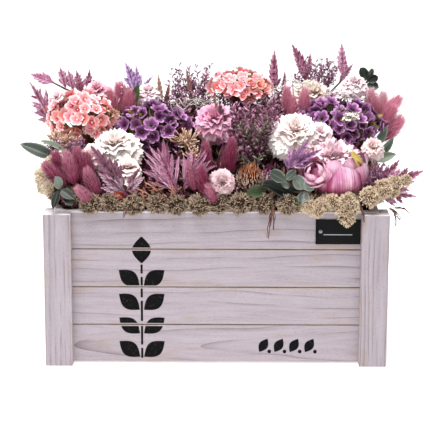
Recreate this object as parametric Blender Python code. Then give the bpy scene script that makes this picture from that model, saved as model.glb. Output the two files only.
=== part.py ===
"""A flower arrangement in a wooden box.

A box of whitewashed planks between four corner posts holds a mound of floral foam. Stems stand
in plain holes in the foam, and their heads climb in rows towards the back: carnations, a peony,
domes of small florets, bunny-tail grass, toothed leaves, heather and eucalyptus. A ruff of
reindeer moss runs along the rim.

The front of the box faces -Y and +Z is up. The origin is the middle of the base board's
underside. Tables are in millimetres, and MM turns them into metres.
"""

import math
import random

import bmesh
import bpy
import numpy as np
from mathutils import Matrix, Vector

MM = 0.001
GAP = 0.3

# The box
BOX_WIDTH = 400.0
BOX_DEPTH = 240.0
POST_HEIGHT = 183.5
POST_LEG = 32.0
POST_THICK = 11.0
PLANK_THICK = 10.0
PLANK_ROWS = 4
PLANK_FOOT = 2.0
RIM_HEIGHT = 185.5
PLANK_SEAM = 0.5
BASE_THICK = 8.0

# The foam rises from its edge to a flat ridge, and the stems stand in holes of one depth
FOAM_EDGE = 168.0
FOAM_TOP = 238.0
RIDGE_HALF_WIDTH = 120.0
RIDGE_FRONT = 15.0
RIDGE_BACK = 45.0
HOLE_DEPTH = 26.0

# Leaves and petals: thickness, the cup of a round leaf, and how deep a leaf's root lies in its rib
LEAF_THICK = 1.1
PETAL_THICK = 1.4
LEAF_CUP = 1.5
ROOT_SUNK = 2.5
KNOT = 6.0

# The card and its nail on the front
TAG_SIZE = (52.0, 29.5)
TAG_THICK = 1.2
TAG_MIDDLE = (141.2, 161.2)
NAIL_AT = (120.9, 162.1)
NAIL_HEAD = 2.6

# Colours as linear RGB, with roughness
WHITEWASH = ((0.62, 0.58, 0.62), 0.75)
FOAM_GREEN = ((0.07, 0.10, 0.05), 0.95)
CARD_BLACK = ((0.012, 0.012, 0.014), 0.55)
NAIL_STEEL = ((0.62, 0.62, 0.64), 0.30)
MOSS_CREAM = ((0.60, 0.50, 0.33), 0.95)
PETAL_WHITE = ((0.86, 0.76, 0.72), 0.8)
PETAL_CREAM = ((0.84, 0.68, 0.60), 0.8)
PETAL_BLUSH = ((0.80, 0.58, 0.58), 0.8)
PETAL_PINK = ((0.74, 0.34, 0.42), 0.8)
PEONY_PINK = ((0.72, 0.36, 0.48), 0.7)
FLORET_CORAL = ((0.84, 0.32, 0.34), 0.7)
FLORET_PURPLE = ((0.20, 0.06, 0.22), 0.65)
SCABIOSA_PALE = ((0.80, 0.58, 0.56), 0.85)
BANKSIA_RUST = ((0.50, 0.24, 0.11), 0.85)
TAIL_ROSE = ((0.38, 0.10, 0.17), 0.9)
LEAF_MAUVE = ((0.34, 0.13, 0.21), 0.75)
LEAF_LILAC = ((0.48, 0.26, 0.46), 0.75)
HEATHER_MAUVE = ((0.22, 0.11, 0.13), 0.85)
STATICE_PLUM = ((0.19, 0.07, 0.13), 0.85)
EUCALYPTUS_GREY = ((0.13, 0.18, 0.14), 0.7)

for old in list(bpy.data.objects):
    bpy.data.objects.remove(old, do_unlink=True)

parts = bpy.data.collections.new("flower_arrangement_in_wooden_box")
bpy.context.scene.collection.children.link(parts)
helpers = bpy.data.collections.new("helpers")
helpers.hide_render = True
bpy.context.scene.collection.children.link(helpers)


def material(name, finish, metallic=0.0):
    """A Principled material of one colour and roughness."""
    colour, roughness = finish
    made = bpy.data.materials.get(name) or bpy.data.materials.new(name)
    made.use_nodes = True
    shader = made.node_tree.nodes["Principled BSDF"]
    shader.inputs["Base Color"].default_value = (*colour, 1.0)
    shader.inputs["Roughness"].default_value = roughness
    shader.inputs["Metallic"].default_value = metallic
    made.diffuse_color = (*colour, 1.0)
    return made


def mesh_object(name, bm, collection):
    """A new object that holds the bmesh, which is freed."""
    mesh = bpy.data.meshes.new(name)
    bm.to_mesh(mesh)
    bm.free()
    made = bpy.data.objects.new(name, mesh)
    collection.objects.link(made)
    return made


def board(name, low, high, finish):
    """A sawn board between two corners, in millimetres."""
    low, high = Vector(low), Vector(high)
    bm = bmesh.new()
    bmesh.ops.create_cube(bm, size=1.0)
    bmesh.ops.scale(bm, vec=(high - low) * MM, verts=bm.verts)
    made = mesh_object(name, bm, parts)
    made.location = (low + high) / 2 * MM
    made.data.materials.append(material(*finish))
    return made


# Shapes of the flowers. Each returns a closed bmesh in metres, placed in the world.


def face_out(bm):
    """Turns the faces of a closed bmesh outwards, by the sign of its volume."""
    bmesh.ops.recalc_face_normals(bm, faces=bm.faces)
    if bm.calc_volume(signed=True) < 0:
        bmesh.ops.reverse_faces(bm, faces=bm.faces)
    return bm


def loft(rings, start, end):
    """A closed skin over rings of points, (rings, points, 3), drawn to a point at both ends."""
    rings = np.asarray(rings, float)
    count, around = rings.shape[:2]
    bm = bmesh.new()
    verts = [[bm.verts.new(point * MM) for point in ring] for ring in rings]
    first = bm.verts.new(np.asarray(start, float) * MM)
    last = bm.verts.new(np.asarray(end, float) * MM)
    for k in range(around):
        after = (k + 1) % around
        bm.faces.new((first, verts[0][after], verts[0][k]))
        bm.faces.new((last, verts[-1][k], verts[-1][after]))
        for i in range(count - 1):
            a, b = verts[i][k], verts[i][after]
            c, d = verts[i + 1][after], verts[i + 1][k]
            bm.faces.new((a, b, c))
            bm.faces.new((a, c, d))
    return face_out(bm)


def blade(ring, above, below):
    """A thin petal: a cone whose rim is moved to the ring of points, with a point on each side."""
    bm = bmesh.new()
    bmesh.ops.create_cone(
        bm, cap_ends=True, cap_tris=True, segments=len(ring), radius1=0, radius2=1, depth=1
    )
    for vert, point in zip(bm.verts, (above, below, *ring), strict=True):
        vert.co = np.asarray(point, float) * MM
    return face_out(bm)


def axes_along(direction, side=(0.0, 0.0, 1.0)):
    """Three unit vectors, as rows: across, normal and along the direction."""
    along = np.asarray(direction, float)
    along = along / np.linalg.norm(along)
    across = np.cross(along, side)
    if np.linalg.norm(across) < 1e-3:
        across = np.cross(along, (0.0, 1.0, 0.0))
    across /= np.linalg.norm(across)
    return np.array([across, np.cross(across, along), along])


def stem(start, end, radius, tip_radius=None, sides=4):
    """A straight stem of a few flat sides, with a short point at each end."""
    start, end = np.asarray(start, float), np.asarray(end, float)
    tip_radius = radius if tip_radius is None else tip_radius
    across, normal, along = axes_along(end - start, (0.0, 1.0, 0.01))
    angles = 2 * math.pi * (np.arange(sides) + 0.5) / sides
    ring = np.outer(np.cos(angles), across) + np.outer(np.sin(angles), normal)
    rings = (start + ring * radius, end + ring * tip_radius)
    return loft(rings, start - along * 0.4, end + along * 0.4)


def toothed_leaf(root, tip, width, teeth, bow, side):
    """A leaf from root to tip: a flat loft of four-sided rings, wide and narrow in turn.

    The half width follows a sine, cut back at every second ring to leave the teeth. The rib
    bows by the given length along the leaf's own normal."""
    root, tip = np.asarray(root, float), np.asarray(tip, float)
    across, normal, along = axes_along(tip - root, side)
    root = root - along * ROOT_SUNK
    rings = []
    count = 2 * teeth - 1
    for i in range(count):
        t = (i + 1) / (count + 1)
        half = width / 2 * math.sin(math.pi * t**0.8) * (1.0 if i % 2 == 0 else 0.58)
        sweep = 0.05 if i % 2 == 0 else -0.03
        rib = root + (tip - root) * t + normal * (4 * bow * t * (1 - t))
        edge = rib + (tip - root) * sweep
        lift = LEAF_THICK / 2
        rings.append((edge - across * half, rib + normal * lift, edge + across * half, rib - normal * lift))
    return loft(rings, root, tip)


def round_leaf(root, tip, width, side):
    """A smooth eucalyptus leaf: a rim of eight points with a cupped middle."""
    root, tip = np.asarray(root, float), np.asarray(tip, float)
    across, normal, along = axes_along(tip - root, side)
    root = root - along * ROOT_SUNK
    middle = (root + tip) / 2
    length = np.linalg.norm(tip - root) / 2
    turns = 2 * math.pi * np.arange(8) / 8
    ring = [middle + along * length * math.cos(a) + across * width / 2 * math.sin(a) for a in turns]
    half = PETAL_THICK / 2
    return blade(ring, middle - normal * (LEAF_CUP - half), middle - normal * (LEAF_CUP + half))


def bunny_tail(base, tip, radius, rng):
    """An oval head of grass: rings of six points that stand out and back in turn."""
    base, tip = np.asarray(base, float), np.asarray(tip, float)
    across, normal, along = axes_along(tip - base, (0.0, 1.0, 0.01))
    rings = []
    for i, t in enumerate((0.16, 0.48, 0.82)):
        turn = 2 * math.pi * (np.arange(6) + 0.5 * (i % 2)) / 6
        reach = radius * math.sqrt(math.sin(math.pi * min(0.97, t * 0.92 + 0.04)))
        reach = reach * (1 + 0.16 * np.array([(-1) ** k for k in range(6)]))[:, None]
        slip = np.array([rng.uniform(-0.04, 0.04) for _ in range(6)])[:, None]
        spread = np.outer(np.cos(turn), across) + np.outer(np.sin(turn), normal)
        rings.append(base + (tip - base) * (t + slip) + spread * reach)
    return loft(rings, base, tip)


def knot(middle, radius):
    """The small knot where the stalks of a bunch or the twigs of a spray meet."""
    bm = bmesh.new()
    bmesh.ops.create_icosphere(bm, subdivisions=1, radius=radius * MM)
    bmesh.ops.translate(bm, vec=Vector(middle) * MM, verts=bm.verts)
    return bm


def beaded_twig(fork, tip, start, radius, bead, beads):
    """A twig from inside its fork to its tip, swollen into buds along its outer half.

    The section is four-sided. Wide and narrow rings take turns, and each wide ring is turned
    by half a side, so that a bud has corners where the twig has faces."""
    fork, tip = np.asarray(fork, float), np.asarray(tip, float)
    across, normal, along = axes_along(tip - fork, (0.0, 1.0, 0.01))
    length = np.linalg.norm(tip - fork)
    rings = []
    for i in range(2 * beads + 1):
        wide = i % 2 == 1
        t = start / length if i == 0 else 0.46 + 0.50 * (i - 0.5) / (2 * beads)
        turn = math.pi / 2 * (np.arange(4) + (0.5 if wide else 0.0))
        spread = np.outer(np.cos(turn), across) + np.outer(np.sin(turn), normal)
        rings.append(fork + along * (length * t) + spread * (bead if wide else radius))
    return loft(rings, fork + along * (start - 0.4), tip)


def head_frame(facing):
    """A rotation that turns +Z towards the way the bloom faces."""
    return np.array(Vector(facing).normalized().to_track_quat("Z", "Y").to_matrix())


def polar_point(radius, polar, turn):
    """The point at a radius, an angle from the bloom's axis and a turn round it."""
    return radius * np.array(
        (math.sin(polar) * math.cos(turn), math.sin(polar) * math.sin(turn), math.cos(polar))
    )


def petal_fan(radius, polar, turn, half, teeth, ruffle, cup, rng):
    """A petal as a fan from near the bloom's centre, within its own sector of turns.

    The rim runs through alternate long and short points, which also lie above and below the
    cone of the layer by the ruffle angle. The middle is sunk by the cup."""
    root = polar_point(0.30 * radius, polar, turn)
    ring = [root]
    for k in range(teeth):
        s = 2 * k / (teeth - 1) - 1
        sign = 1 if k % 2 == 0 else -1
        reach = radius * (1 - 0.10 * s * s) * (1.0 if sign > 0 else 0.91)
        ring.append(polar_point(reach, polar + sign * ruffle + rng.uniform(-0.02, 0.02), turn + half * s))
    outward = polar_point(1.0, polar + math.pi / 2, turn)
    middle = polar_point(0.66 * radius, polar, turn) + outward * cup
    half_thick = outward * (PETAL_THICK / 2)
    return ring, middle - half_thick, middle + half_thick


def ruffled_head(centre, radius, facing, layers, rng, teeth=5, ruffle=0.10, cup=0.0):
    """The petals of a carnation or a peony in their layers, on a small core.

    Each layer is (angle from the axis, petals, reach, share of its sector that a petal fills)."""
    turned = head_frame(facing)
    shapes = []
    core = bmesh.new()
    bmesh.ops.create_icosphere(core, subdivisions=1, radius=radius * 0.46 * MM)
    for vert in core.verts:
        vert.co = turned @ np.array(vert.co) + np.asarray(centre) * MM
    shapes.append(core)
    for index, (polar, count, reach, fill) in enumerate(layers):
        for k in range(count):
            turn = 2 * math.pi * (k + 0.5 * (index % 2)) / count + rng.uniform(-0.05, 0.05)
            half = math.pi / count * fill
            ring, above, below = petal_fan(
                radius * reach, math.radians(polar), turn, half, teeth, ruffle, cup, rng
            )
            points = [turned @ p + np.asarray(centre) for p in (*ring, above, below)]
            shapes.append(blade(points[:-2], points[-2], points[-1]))
    return shapes


def floret_dome(centre, radii, facing, florets, spread, rim, rng, petals=5):
    """A dome covered in cupped florets, raised from an oval by a formula.

    Floret centres lie on a golden spiral over the cap. Each has lobes at full reach, notches
    between them and a sunken middle, and pits lie between the florets. The skin over all
    these directions is their convex hull on the unit sphere."""
    golden = math.pi * (3 - math.sqrt(5))
    cap = 1 - math.cos(math.radians(spread))
    directions, reaches, middles = [], [], []
    for k in range(florets):
        polar = math.acos(1 - cap * (k + 0.5) / florets)
        turn = golden * k
        middle = polar_point(1.0, polar, turn)
        lift = rng.uniform(-0.05, 0.05)
        across, normal, _ = axes_along(middle)
        spin = rng.uniform(0, 2 * math.pi)
        directions.append(middle)
        reaches.append(0.84 + lift)
        middles.append(middle)
        for j in range(2 * petals):
            angle = spin + math.pi * j / petals
            size = rim if j % 2 == 0 else rim * 0.66
            offset = math.cos(angle) * across + math.sin(angle) * normal
            point = middle + offset * math.tan(size)
            directions.append(point / np.linalg.norm(point))
            reaches.append((1.06 if j % 2 == 0 else 0.97) + lift)
    floret_middles = np.array(middles)
    pits = []
    trial = 60 * florets
    for k in range(trial):
        point = polar_point(1.0, math.acos(1 - 1.999 * (k + 0.5) / trial), golden * k)
        away = np.min(np.linalg.norm(floret_middles - point, axis=1))
        apart = min((np.linalg.norm(point - pit) for pit in pits), default=9.0)
        on_cap = point[2] > math.cos(math.radians(spread + 8))
        if away > rim * (1.12 if on_cap else 1.3) and apart > (0.30 if on_cap else 0.8):
            pits.append(point)
            directions.append(point)
            reaches.append(0.70 if on_cap else 0.60)
    return radial_skin(centre, radii, facing, directions, reaches)


def radial_skin(centre, radii, facing, directions, reaches):
    """One closed skin over directions from a centre, each point out at its own reach."""
    bm = bmesh.new()
    for direction in directions:
        bm.verts.new(direction)
    bmesh.ops.convex_hull(bm, input=bm.verts)
    turned = head_frame(facing)
    bm.verts.ensure_lookup_table()
    for vert, direction, reach in zip(bm.verts, directions, reaches, strict=True):
        point = turned @ (np.asarray(direction) * reach * np.asarray(radii))
        vert.co = (point + np.asarray(centre)) * MM
    return face_out(bm)


def spiked_ball(centre, radii, facing, spikes, depth, rng):
    """A head of short spikes: spiral points stand out, and points between them lie back."""
    golden = math.pi * (3 - math.sqrt(5))
    directions, reaches = [], []
    for k in range(spikes):
        low = k % 2
        directions.append(polar_point(1.0, math.acos(1 - 1.998 * (k + 0.5) / spikes), golden * k))
        reaches.append(1.0 - (depth if low else rng.uniform(0, depth / 4)))
    return radial_skin(centre, radii, facing, directions, reaches)


def moss_bank(path, around, steps, rng, floor):
    """A bank of moss along a path of (x, y, z, half width, half height) rows.

    The section is an oval. Slow waves swell it into tufts, and a seeded draw for each point
    makes the knobs. No point goes below the floor."""
    rows = np.asarray(path, float)
    t = np.linspace(0, 1, steps)
    at = np.concatenate([[0], np.cumsum(np.linalg.norm(np.diff(rows[:, :3], axis=0), axis=1))])
    at /= at[-1]
    x, y, z, wide, high = (np.interp(t, at, rows[:, k]) for k in range(5))
    heading = np.arctan2(rows[-1, 1] - rows[0, 1], rows[-1, 0] - rows[0, 0])
    side = np.array((-math.sin(heading), math.cos(heading)))
    rings = []
    for i in range(steps):
        turn = 2 * math.pi * np.arange(around) / around
        tuft = 0.90 + 0.16 * math.sin(i * 1.37) + 0.08 * math.sin(i * 0.61 + 1)
        knob = tuft * np.array([rng.uniform(0.80, 1.16) for _ in range(around)])
        out = wide[i] * knob * np.cos(turn)
        up = z[i] + high[i] * knob * np.sin(turn)
        up = np.maximum(up, floor + np.array([rng.uniform(0, 0.6) for _ in range(around)]))
        rings.append(np.stack([x[i] + side[0] * out, y[i] + side[1] * out, up], axis=1))
    ends = [(x[k], y[k], z[k]) for k in (0, -1)]
    overrun = np.array((math.cos(heading), math.sin(heading), 0.0)) * 3
    return loft(rings, ends[0] - overrun, ends[1] + overrun)


# Room that a finished node keeps for itself. Later nodes are cut back from it.

taken = []
BLOCK_SIDES = [
    np.array((x, y, z)) / math.sqrt(x * x + y * y + z * z)
    for x in (-1, 0, 1) for y in (-1, 0, 1) for z in (-1, 0, 1) if x or y or z
]


def take_room(name, pieces, heads=()):
    """Keeps the room of each group of points: close hulls for pieces, cut blocks for heads."""
    for groups, is_head in ((pieces, False), (heads, True)):
        for points in groups:
            points = np.asarray(points, float)
            taken.append((name, points.min(axis=0) - 2 * GAP, points.max(axis=0) + 2 * GAP, points, is_head))


def hull_cutter(name, points):
    """The convex hull of the points, with each corner pushed out by a little over the gap."""
    bm = bmesh.new()
    for point in points:
        bm.verts.new(point * MM)
    found = bmesh.ops.convex_hull(bm, input=bm.verts)
    spare = [e for e in found["geom_interior"] + found["geom_unused"] if isinstance(e, bmesh.types.BMVert)]
    bmesh.ops.delete(bm, geom=list(dict.fromkeys(spare)), context="VERTS")
    face_out(bm)
    bm.normal_update()
    for vert in bm.verts:
        vert.co += vert.normal * (1.5 * GAP * MM)
    return mesh_object(name, bm, helpers)


def block_cutter(name, points):
    """A block cut by 26 planes that touch the head from all round, each a gap outside it."""
    low, high = points.min(axis=0), points.max(axis=0)
    bm = bmesh.new()
    bmesh.ops.create_cube(bm, size=1.0)
    bmesh.ops.scale(bm, vec=(high - low) * MM * 2, verts=bm.verts)
    bmesh.ops.translate(bm, vec=(low + high) / 2 * MM, verts=bm.verts)
    for side in BLOCK_SIDES:
        reach = (points @ side).max() + GAP
        everything = bm.verts[:] + bm.edges[:] + bm.faces[:]
        bmesh.ops.bisect_plane(bm, geom=everything, plane_co=side * reach * MM, plane_no=side, clear_outer=True)
        rim = [edge for edge in bm.edges if edge.is_boundary]
        if rim:
            bmesh.ops.contextual_create(bm, geom=rim)
    bmesh.ops.triangulate(bm, faces=bm.faces)
    face_out(bm)
    return mesh_object(name, bm, helpers)


def combine(target, others, operation):
    """Applies one Boolean of the target with a collection, then removes the collection."""
    if not others:
        return
    group = bpy.data.collections.new("group")
    helpers.children.link(group)
    for other in others:
        helpers.objects.unlink(other)
        group.objects.link(other)
    boolean = target.modifiers.new(operation.lower(), "BOOLEAN")
    boolean.operation = operation
    boolean.operand_type = "COLLECTION"
    boolean.collection = group
    boolean.solver = "MANIFOLD"
    graph = bpy.context.evaluated_depsgraph_get()
    mesh = bpy.data.meshes.new_from_object(target.evaluated_get(graph))
    target.modifiers.clear()
    target.data = mesh
    for other in list(group.objects):
        bpy.data.objects.remove(other, do_unlink=True)
    bpy.data.collections.remove(group)


def keep_largest(target):
    """Drops every loose scrap but the largest body."""
    bm = bmesh.new()
    bm.from_mesh(target.data)
    bm.verts.ensure_lookup_table()
    bodies, seen = [], set()
    for vert in bm.verts:
        if vert.index in seen:
            continue
        body, edge_of = [vert], [vert]
        seen.add(vert.index)
        while edge_of:
            for edge in edge_of.pop().link_edges:
                for other in edge.verts:
                    if other.index not in seen:
                        seen.add(other.index)
                        body.append(other)
                        edge_of.append(other)
        bodies.append(body)
    bodies.sort(key=len, reverse=True)
    scraps = [vert for body in bodies[1:] for vert in body]
    bmesh.ops.delete(bm, geom=scraps, context="VERTS")
    bm.to_mesh(target.data)
    bm.free()


def grow(name, shapes, finish, stems=(), one_head=True):
    """One node: its shapes and stems joined, cut back from earlier nodes, and its room kept.

    The shapes of a head keep one block of room together, and those of a spray or a bunch
    keep a hull each, as every stem does."""
    clouds = [np.array([v.co for v in bm.verts]) / MM for bm in shapes]
    stem_clouds = [np.array([v.co for v in bm.verts]) / MM for bm in stems]
    objects = [mesh_object(f"{name}.{k}", bm, helpers) for k, bm in enumerate([*shapes, *stems])]
    target = objects[0]
    helpers.objects.unlink(target)
    parts.objects.link(target)
    target.name = name
    combine(target, objects[1:], "UNION")
    cutters = []
    for owner, low, high, points, is_head in taken:
        near = any((low < c.max(axis=0)).all() and (high > c.min(axis=0)).all() for c in clouds + stem_clouds)
        if near:
            make = block_cutter if is_head else hull_cutter
            cutters.append(make(f"{name}.clear.{owner}", points))
    combine(target, cutters, "DIFFERENCE")
    keep_largest(target)
    target.data.materials.clear()
    target.data.materials.append(material(*finish))
    if one_head:
        take_room(name, stem_clouds, [np.concatenate(clouds)])
    else:
        take_room(name, [*clouds, *stem_clouds])
    return target


# The wooden box: L-shaped corner posts stand outside four rows of planks.

half_width = BOX_WIDTH / 2
half_depth = BOX_DEPTH / 2
plank_out_x = half_width - POST_THICK - GAP
plank_out_y = half_depth - POST_THICK - GAP
inside_x = plank_out_x - PLANK_THICK
inside_y = plank_out_y - PLANK_THICK
row_pitch = (RIM_HEIGHT - PLANK_FOOT + PLANK_SEAM) / PLANK_ROWS

for side_x in (-1, 1):
    for side_y in (-1, 1):
        outline = [(0, 0), (POST_LEG, 0), (POST_LEG, POST_THICK), (POST_THICK, POST_THICK)]
        outline += [(POST_THICK, POST_LEG), (0, POST_LEG)]
        name = f"post_{'right' if side_x > 0 else 'left'}_{'back' if side_y > 0 else 'front'}"
        curve = bpy.data.curves.new(name, "CURVE")
        curve.dimensions = "2D"
        curve.fill_mode = "BOTH"
        curve.extrude = POST_HEIGHT / 2 * MM
        spline = curve.splines.new("POLY")
        spline.points.add(len(outline) - 1)
        spline.use_cyclic_u = True
        if side_x * side_y < 0:
            outline.reverse()
        for point, (u, v) in zip(spline.points, outline, strict=True):
            point.co = (side_x * (half_width - u) * MM, side_y * (half_depth - v) * MM, 0, 1)
        post = bpy.data.objects.new(name, curve)
        post.location.z = POST_HEIGHT / 2 * MM
        post.data.materials.append(material("whitewash", WHITEWASH))
        parts.objects.link(post)

for row in range(PLANK_ROWS):
    low_z = PLANK_FOOT + row * row_pitch
    high_z = low_z + row_pitch - PLANK_SEAM
    end_y = inside_y - GAP
    finish = ("whitewash", WHITEWASH)
    for side, word in ((-1, "front"), (1, "back")):
        ys = sorted((side * inside_y, side * plank_out_y))
        board(f"plank_{word}_{row + 1}", (-plank_out_x, ys[0], low_z), (plank_out_x, ys[1], high_z), finish)
    for side, word in ((-1, "left"), (1, "right")):
        xs = sorted((side * inside_x, side * plank_out_x))
        board(f"plank_{word}_{row + 1}", (xs[0], -end_y, low_z), (xs[1], end_y, high_z), finish)

board(
    "base_board",
    (-inside_x + GAP, -inside_y + GAP, 0),
    (inside_x - GAP, inside_y - GAP, BASE_THICK),
    ("whitewash", WHITEWASH),
)

# The card hangs on the top plank from a round-headed nail, whose head lies on the card.

card_back = -plank_out_y - GAP
board(
    "tag",
    (TAG_MIDDLE[0] - TAG_SIZE[0] / 2, card_back - TAG_THICK, TAG_MIDDLE[1] - TAG_SIZE[1] / 2),
    (TAG_MIDDLE[0] + TAG_SIZE[0] / 2, card_back, TAG_MIDDLE[1] + TAG_SIZE[1] / 2),
    ("card_black", CARD_BLACK),
)

nail_mesh = bmesh.new()
bmesh.ops.create_uvsphere(nail_mesh, u_segments=12, v_segments=6, radius=NAIL_HEAD * MM)
bmesh.ops.bisect_plane(
    nail_mesh,
    geom=nail_mesh.verts[:] + nail_mesh.edges[:] + nail_mesh.faces[:],
    plane_co=(0, 0, 0),
    plane_no=(0, 0, 1),
    clear_inner=True,
)
bmesh.ops.holes_fill(nail_mesh, edges=nail_mesh.edges, sides=0)
bmesh.ops.scale(nail_mesh, vec=(1, 1, 0.55), verts=nail_mesh.verts)
bmesh.ops.recalc_face_normals(nail_mesh, faces=nail_mesh.faces)
nail = mesh_object("nail", nail_mesh, parts)
nail.matrix_world = Matrix.Translation(
    Vector((NAIL_AT[0], card_back - TAG_THICK - GAP, NAIL_AT[1])) * MM
) @ Matrix.Rotation(math.radians(90), 4, "X")
nail.data.materials.append(material("nail_steel", NAIL_STEEL, 1.0))

# The moss and sprays keep clear of the box, as far as its rim.

rim_block = [(x, y, z) for x in (-plank_out_x, plank_out_x) for y in (-plank_out_y, plank_out_y)
             for z in (100.0, RIM_HEIGHT)]
for side_x in (-1, 1):
    for side_y in (-1, 1):
        xs = (side_x * half_width, side_x * (half_width - POST_LEG))
        ys = (side_y * half_depth, side_y * (half_depth - POST_THICK))
        leg = [(x, y, z) for x in xs for y in ys for z in (100.0, POST_HEIGHT)]
        xs = (side_x * half_width, side_x * (half_width - POST_THICK))
        ys = (side_y * half_depth, side_y * (half_depth - POST_LEG))
        other_leg = [(x, y, z) for x in xs for y in ys for z in (100.0, POST_HEIGHT)]
        take_room("post", [leg, other_leg])


def root(x, y):
    """The foot of a stem, in its hole in the slope of the foam."""
    share = min(
        1.0,
        (inside_x - abs(x)) / (inside_x - RIDGE_HALF_WIDTH),
        (inside_y + y) / (inside_y + RIDGE_FRONT),
        (inside_y - y) / (inside_y - RIDGE_BACK),
    )
    return np.array((x, y, FOAM_EDGE + (FOAM_TOP - FOAM_EDGE) * share - HOLE_DEPTH))


def branch(start, end, radius):
    """A tapering stem from a point, or from the foam where only x and y are given."""
    return stem(root(*start) if len(start) == 2 else start, end, radius, 0.75 * radius)


# Carnations: (centre, radius, facing, root, petal layers, finish)

WIDE_LAYERS = ((100, 6, 1.0, 0.92), (70, 6, 1.0, 0.88), (40, 4, 0.98, 0.84), (12, 1, 0.94, 0.9))
SMALL_LAYERS = ((96, 5, 1.0, 0.86), (58, 4, 1.0, 0.84), (20, 2, 0.96, 0.66))
CARNATIONS = {
    "carnation_white_left": ((-118, -54, 239), 30, (-0.1, -0.55, 0.85), (-114, -44), WIDE_LAYERS,
                             ("petal_white", PETAL_WHITE)),
    "carnation_white_right": ((91, -48, 258), 30, (0, -0.60, 0.80), (90, -38), WIDE_LAYERS,
                              ("petal_white", PETAL_WHITE)),
    "carnation_pink_mid": ((-1, -14, 268), 25, (-0.1, -0.60, 0.80), (-2, -8), WIDE_LAYERS,
                           ("petal_pink", PETAL_PINK)),
    "carnation_cream_back_right": ((122, 42, 289), 25, (0, -0.25, 0.95), (120, 44), WIDE_LAYERS,
                                   ("petal_cream", PETAL_CREAM)),
    "carnation_white_rear": ((-56, 84, 236), 28, (-0.1, 0.60, 0.80), (-56, 74), WIDE_LAYERS,
                             ("petal_white", PETAL_WHITE)),
    "carnation_pink_rear": ((64, 86, 238), 27, (0.1, 0.60, 0.80), (64, 76), WIDE_LAYERS,
                            ("petal_pink", PETAL_PINK)),
    "carnation_small": ((5.8, -100, 216.5), 15.5, (0.1, -0.95, 0.25), (6, -78), SMALL_LAYERS,
                        ("petal_blush", PETAL_BLUSH)),
    "carnation_blush_back_left": ((-83, 36, 294), 15, (0, -0.30, 0.95), (-84, 40), SMALL_LAYERS,
                                  ("petal_blush", PETAL_BLUSH)),
    "carnation_pink_back_right": ((168, 38, 301), 14, (0, -0.30, 0.95), (160, 44), SMALL_LAYERS,
                                  ("petal_blush", PETAL_BLUSH)),
}
for seed, (name, (centre, radius, facing, foot, layers, finish)) in enumerate(CARNATIONS.items()):
    rng = random.Random(100 + seed)
    petals = ruffled_head(centre, radius, facing, layers, rng)
    grow(name, petals, finish, [stem(root(*foot), centre, 2.0)])

# The peony: broad cupped petals, the outer ones folded up round the bowl.

PEONY_LAYERS = ((112, 6, 1.0, 0.95), (80, 6, 1.0, 0.92), (50, 5, 0.96, 0.88), (20, 3, 0.90, 0.75))
PEONY_AT = (140, -76, 226)
peony_petals = ruffled_head(
    PEONY_AT, 36, (-0.15, -0.62, 0.78), PEONY_LAYERS, random.Random(7), teeth=5, ruffle=0.03, cup=5.0
)
grow("peony", peony_petals, ("peony_pink", PEONY_PINK), [stem(root(138, -60), PEONY_AT, 2.6)])

# Domes of florets: (centre, radii, facing, florets, spread, rim angle, root, finish)

DOMES = {
    "cluster_pink_left": ((-162, -8, 272), (40, 29, 26), (-0.1, -0.45, 0.90), 19, 108, 0.34,
                          (-150, 0), ("floret_coral", FLORET_CORAL)),
    "cluster_pink_back": ((28, 38, 305), (36, 27, 17), (0, -0.15, 1.0), 18, 100, 0.34,
                          (28, 44), ("floret_coral", FLORET_CORAL)),
    "cluster_purple_left": ((-76, -4, 260), (43, 30, 27), (0, -0.50, 0.86), 19, 112, 0.35,
                            (-76, 6), ("floret_purple", FLORET_PURPLE)),
    "cluster_purple_right": ((150, -2, 267), (47, 30, 25), (0, -0.50, 0.86), 20, 112, 0.34,
                             (142, 6), ("floret_purple", FLORET_PURPLE)),
}
for seed, (name, (centre, radii, facing, florets, spread, rim, foot, finish)) in enumerate(DOMES.items()):
    dome = floret_dome(centre, radii, facing, florets, spread, rim, random.Random(200 + seed))
    fork = np.array((foot[0], foot[1], centre[2] - radii[2] * 1.5))
    stems = [stem(root(*foot), fork, 2.2)]
    for spread_x in (-0.55, 0.0, 0.55):
        top = np.asarray(centre) + (spread_x * radii[0], 2.0, -0.2 * radii[2])
        stems.append(stem(fork - (0, 0, 3), top, 1.5))
    grow(name, [dome], finish, stems)

# Small round heads of spikes

scabiosa = spiked_ball((184.7, -50, 246), (14.5, 14.5, 14.5), (0, -0.6, 0.8), 72, 0.26, random.Random(31))
grow("scabiosa", [scabiosa], ("scabiosa_pale", SCABIOSA_PALE), [stem(root(171, -46), (184, -50, 244), 1.4)])
banksia = spiked_ball((38.5, -92, 219), (17, 14, 19), (0, -0.35, 0.95), 84, 0.30, random.Random(32))
grow("banksia", [banksia], ("banksia_rust", BANKSIA_RUST), [stem(root(38, -82), (38.5, -91, 216), 2.0)])

# Bunny tails: for each bunch its foot, its knot, and each head's base, tip and radius

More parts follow.
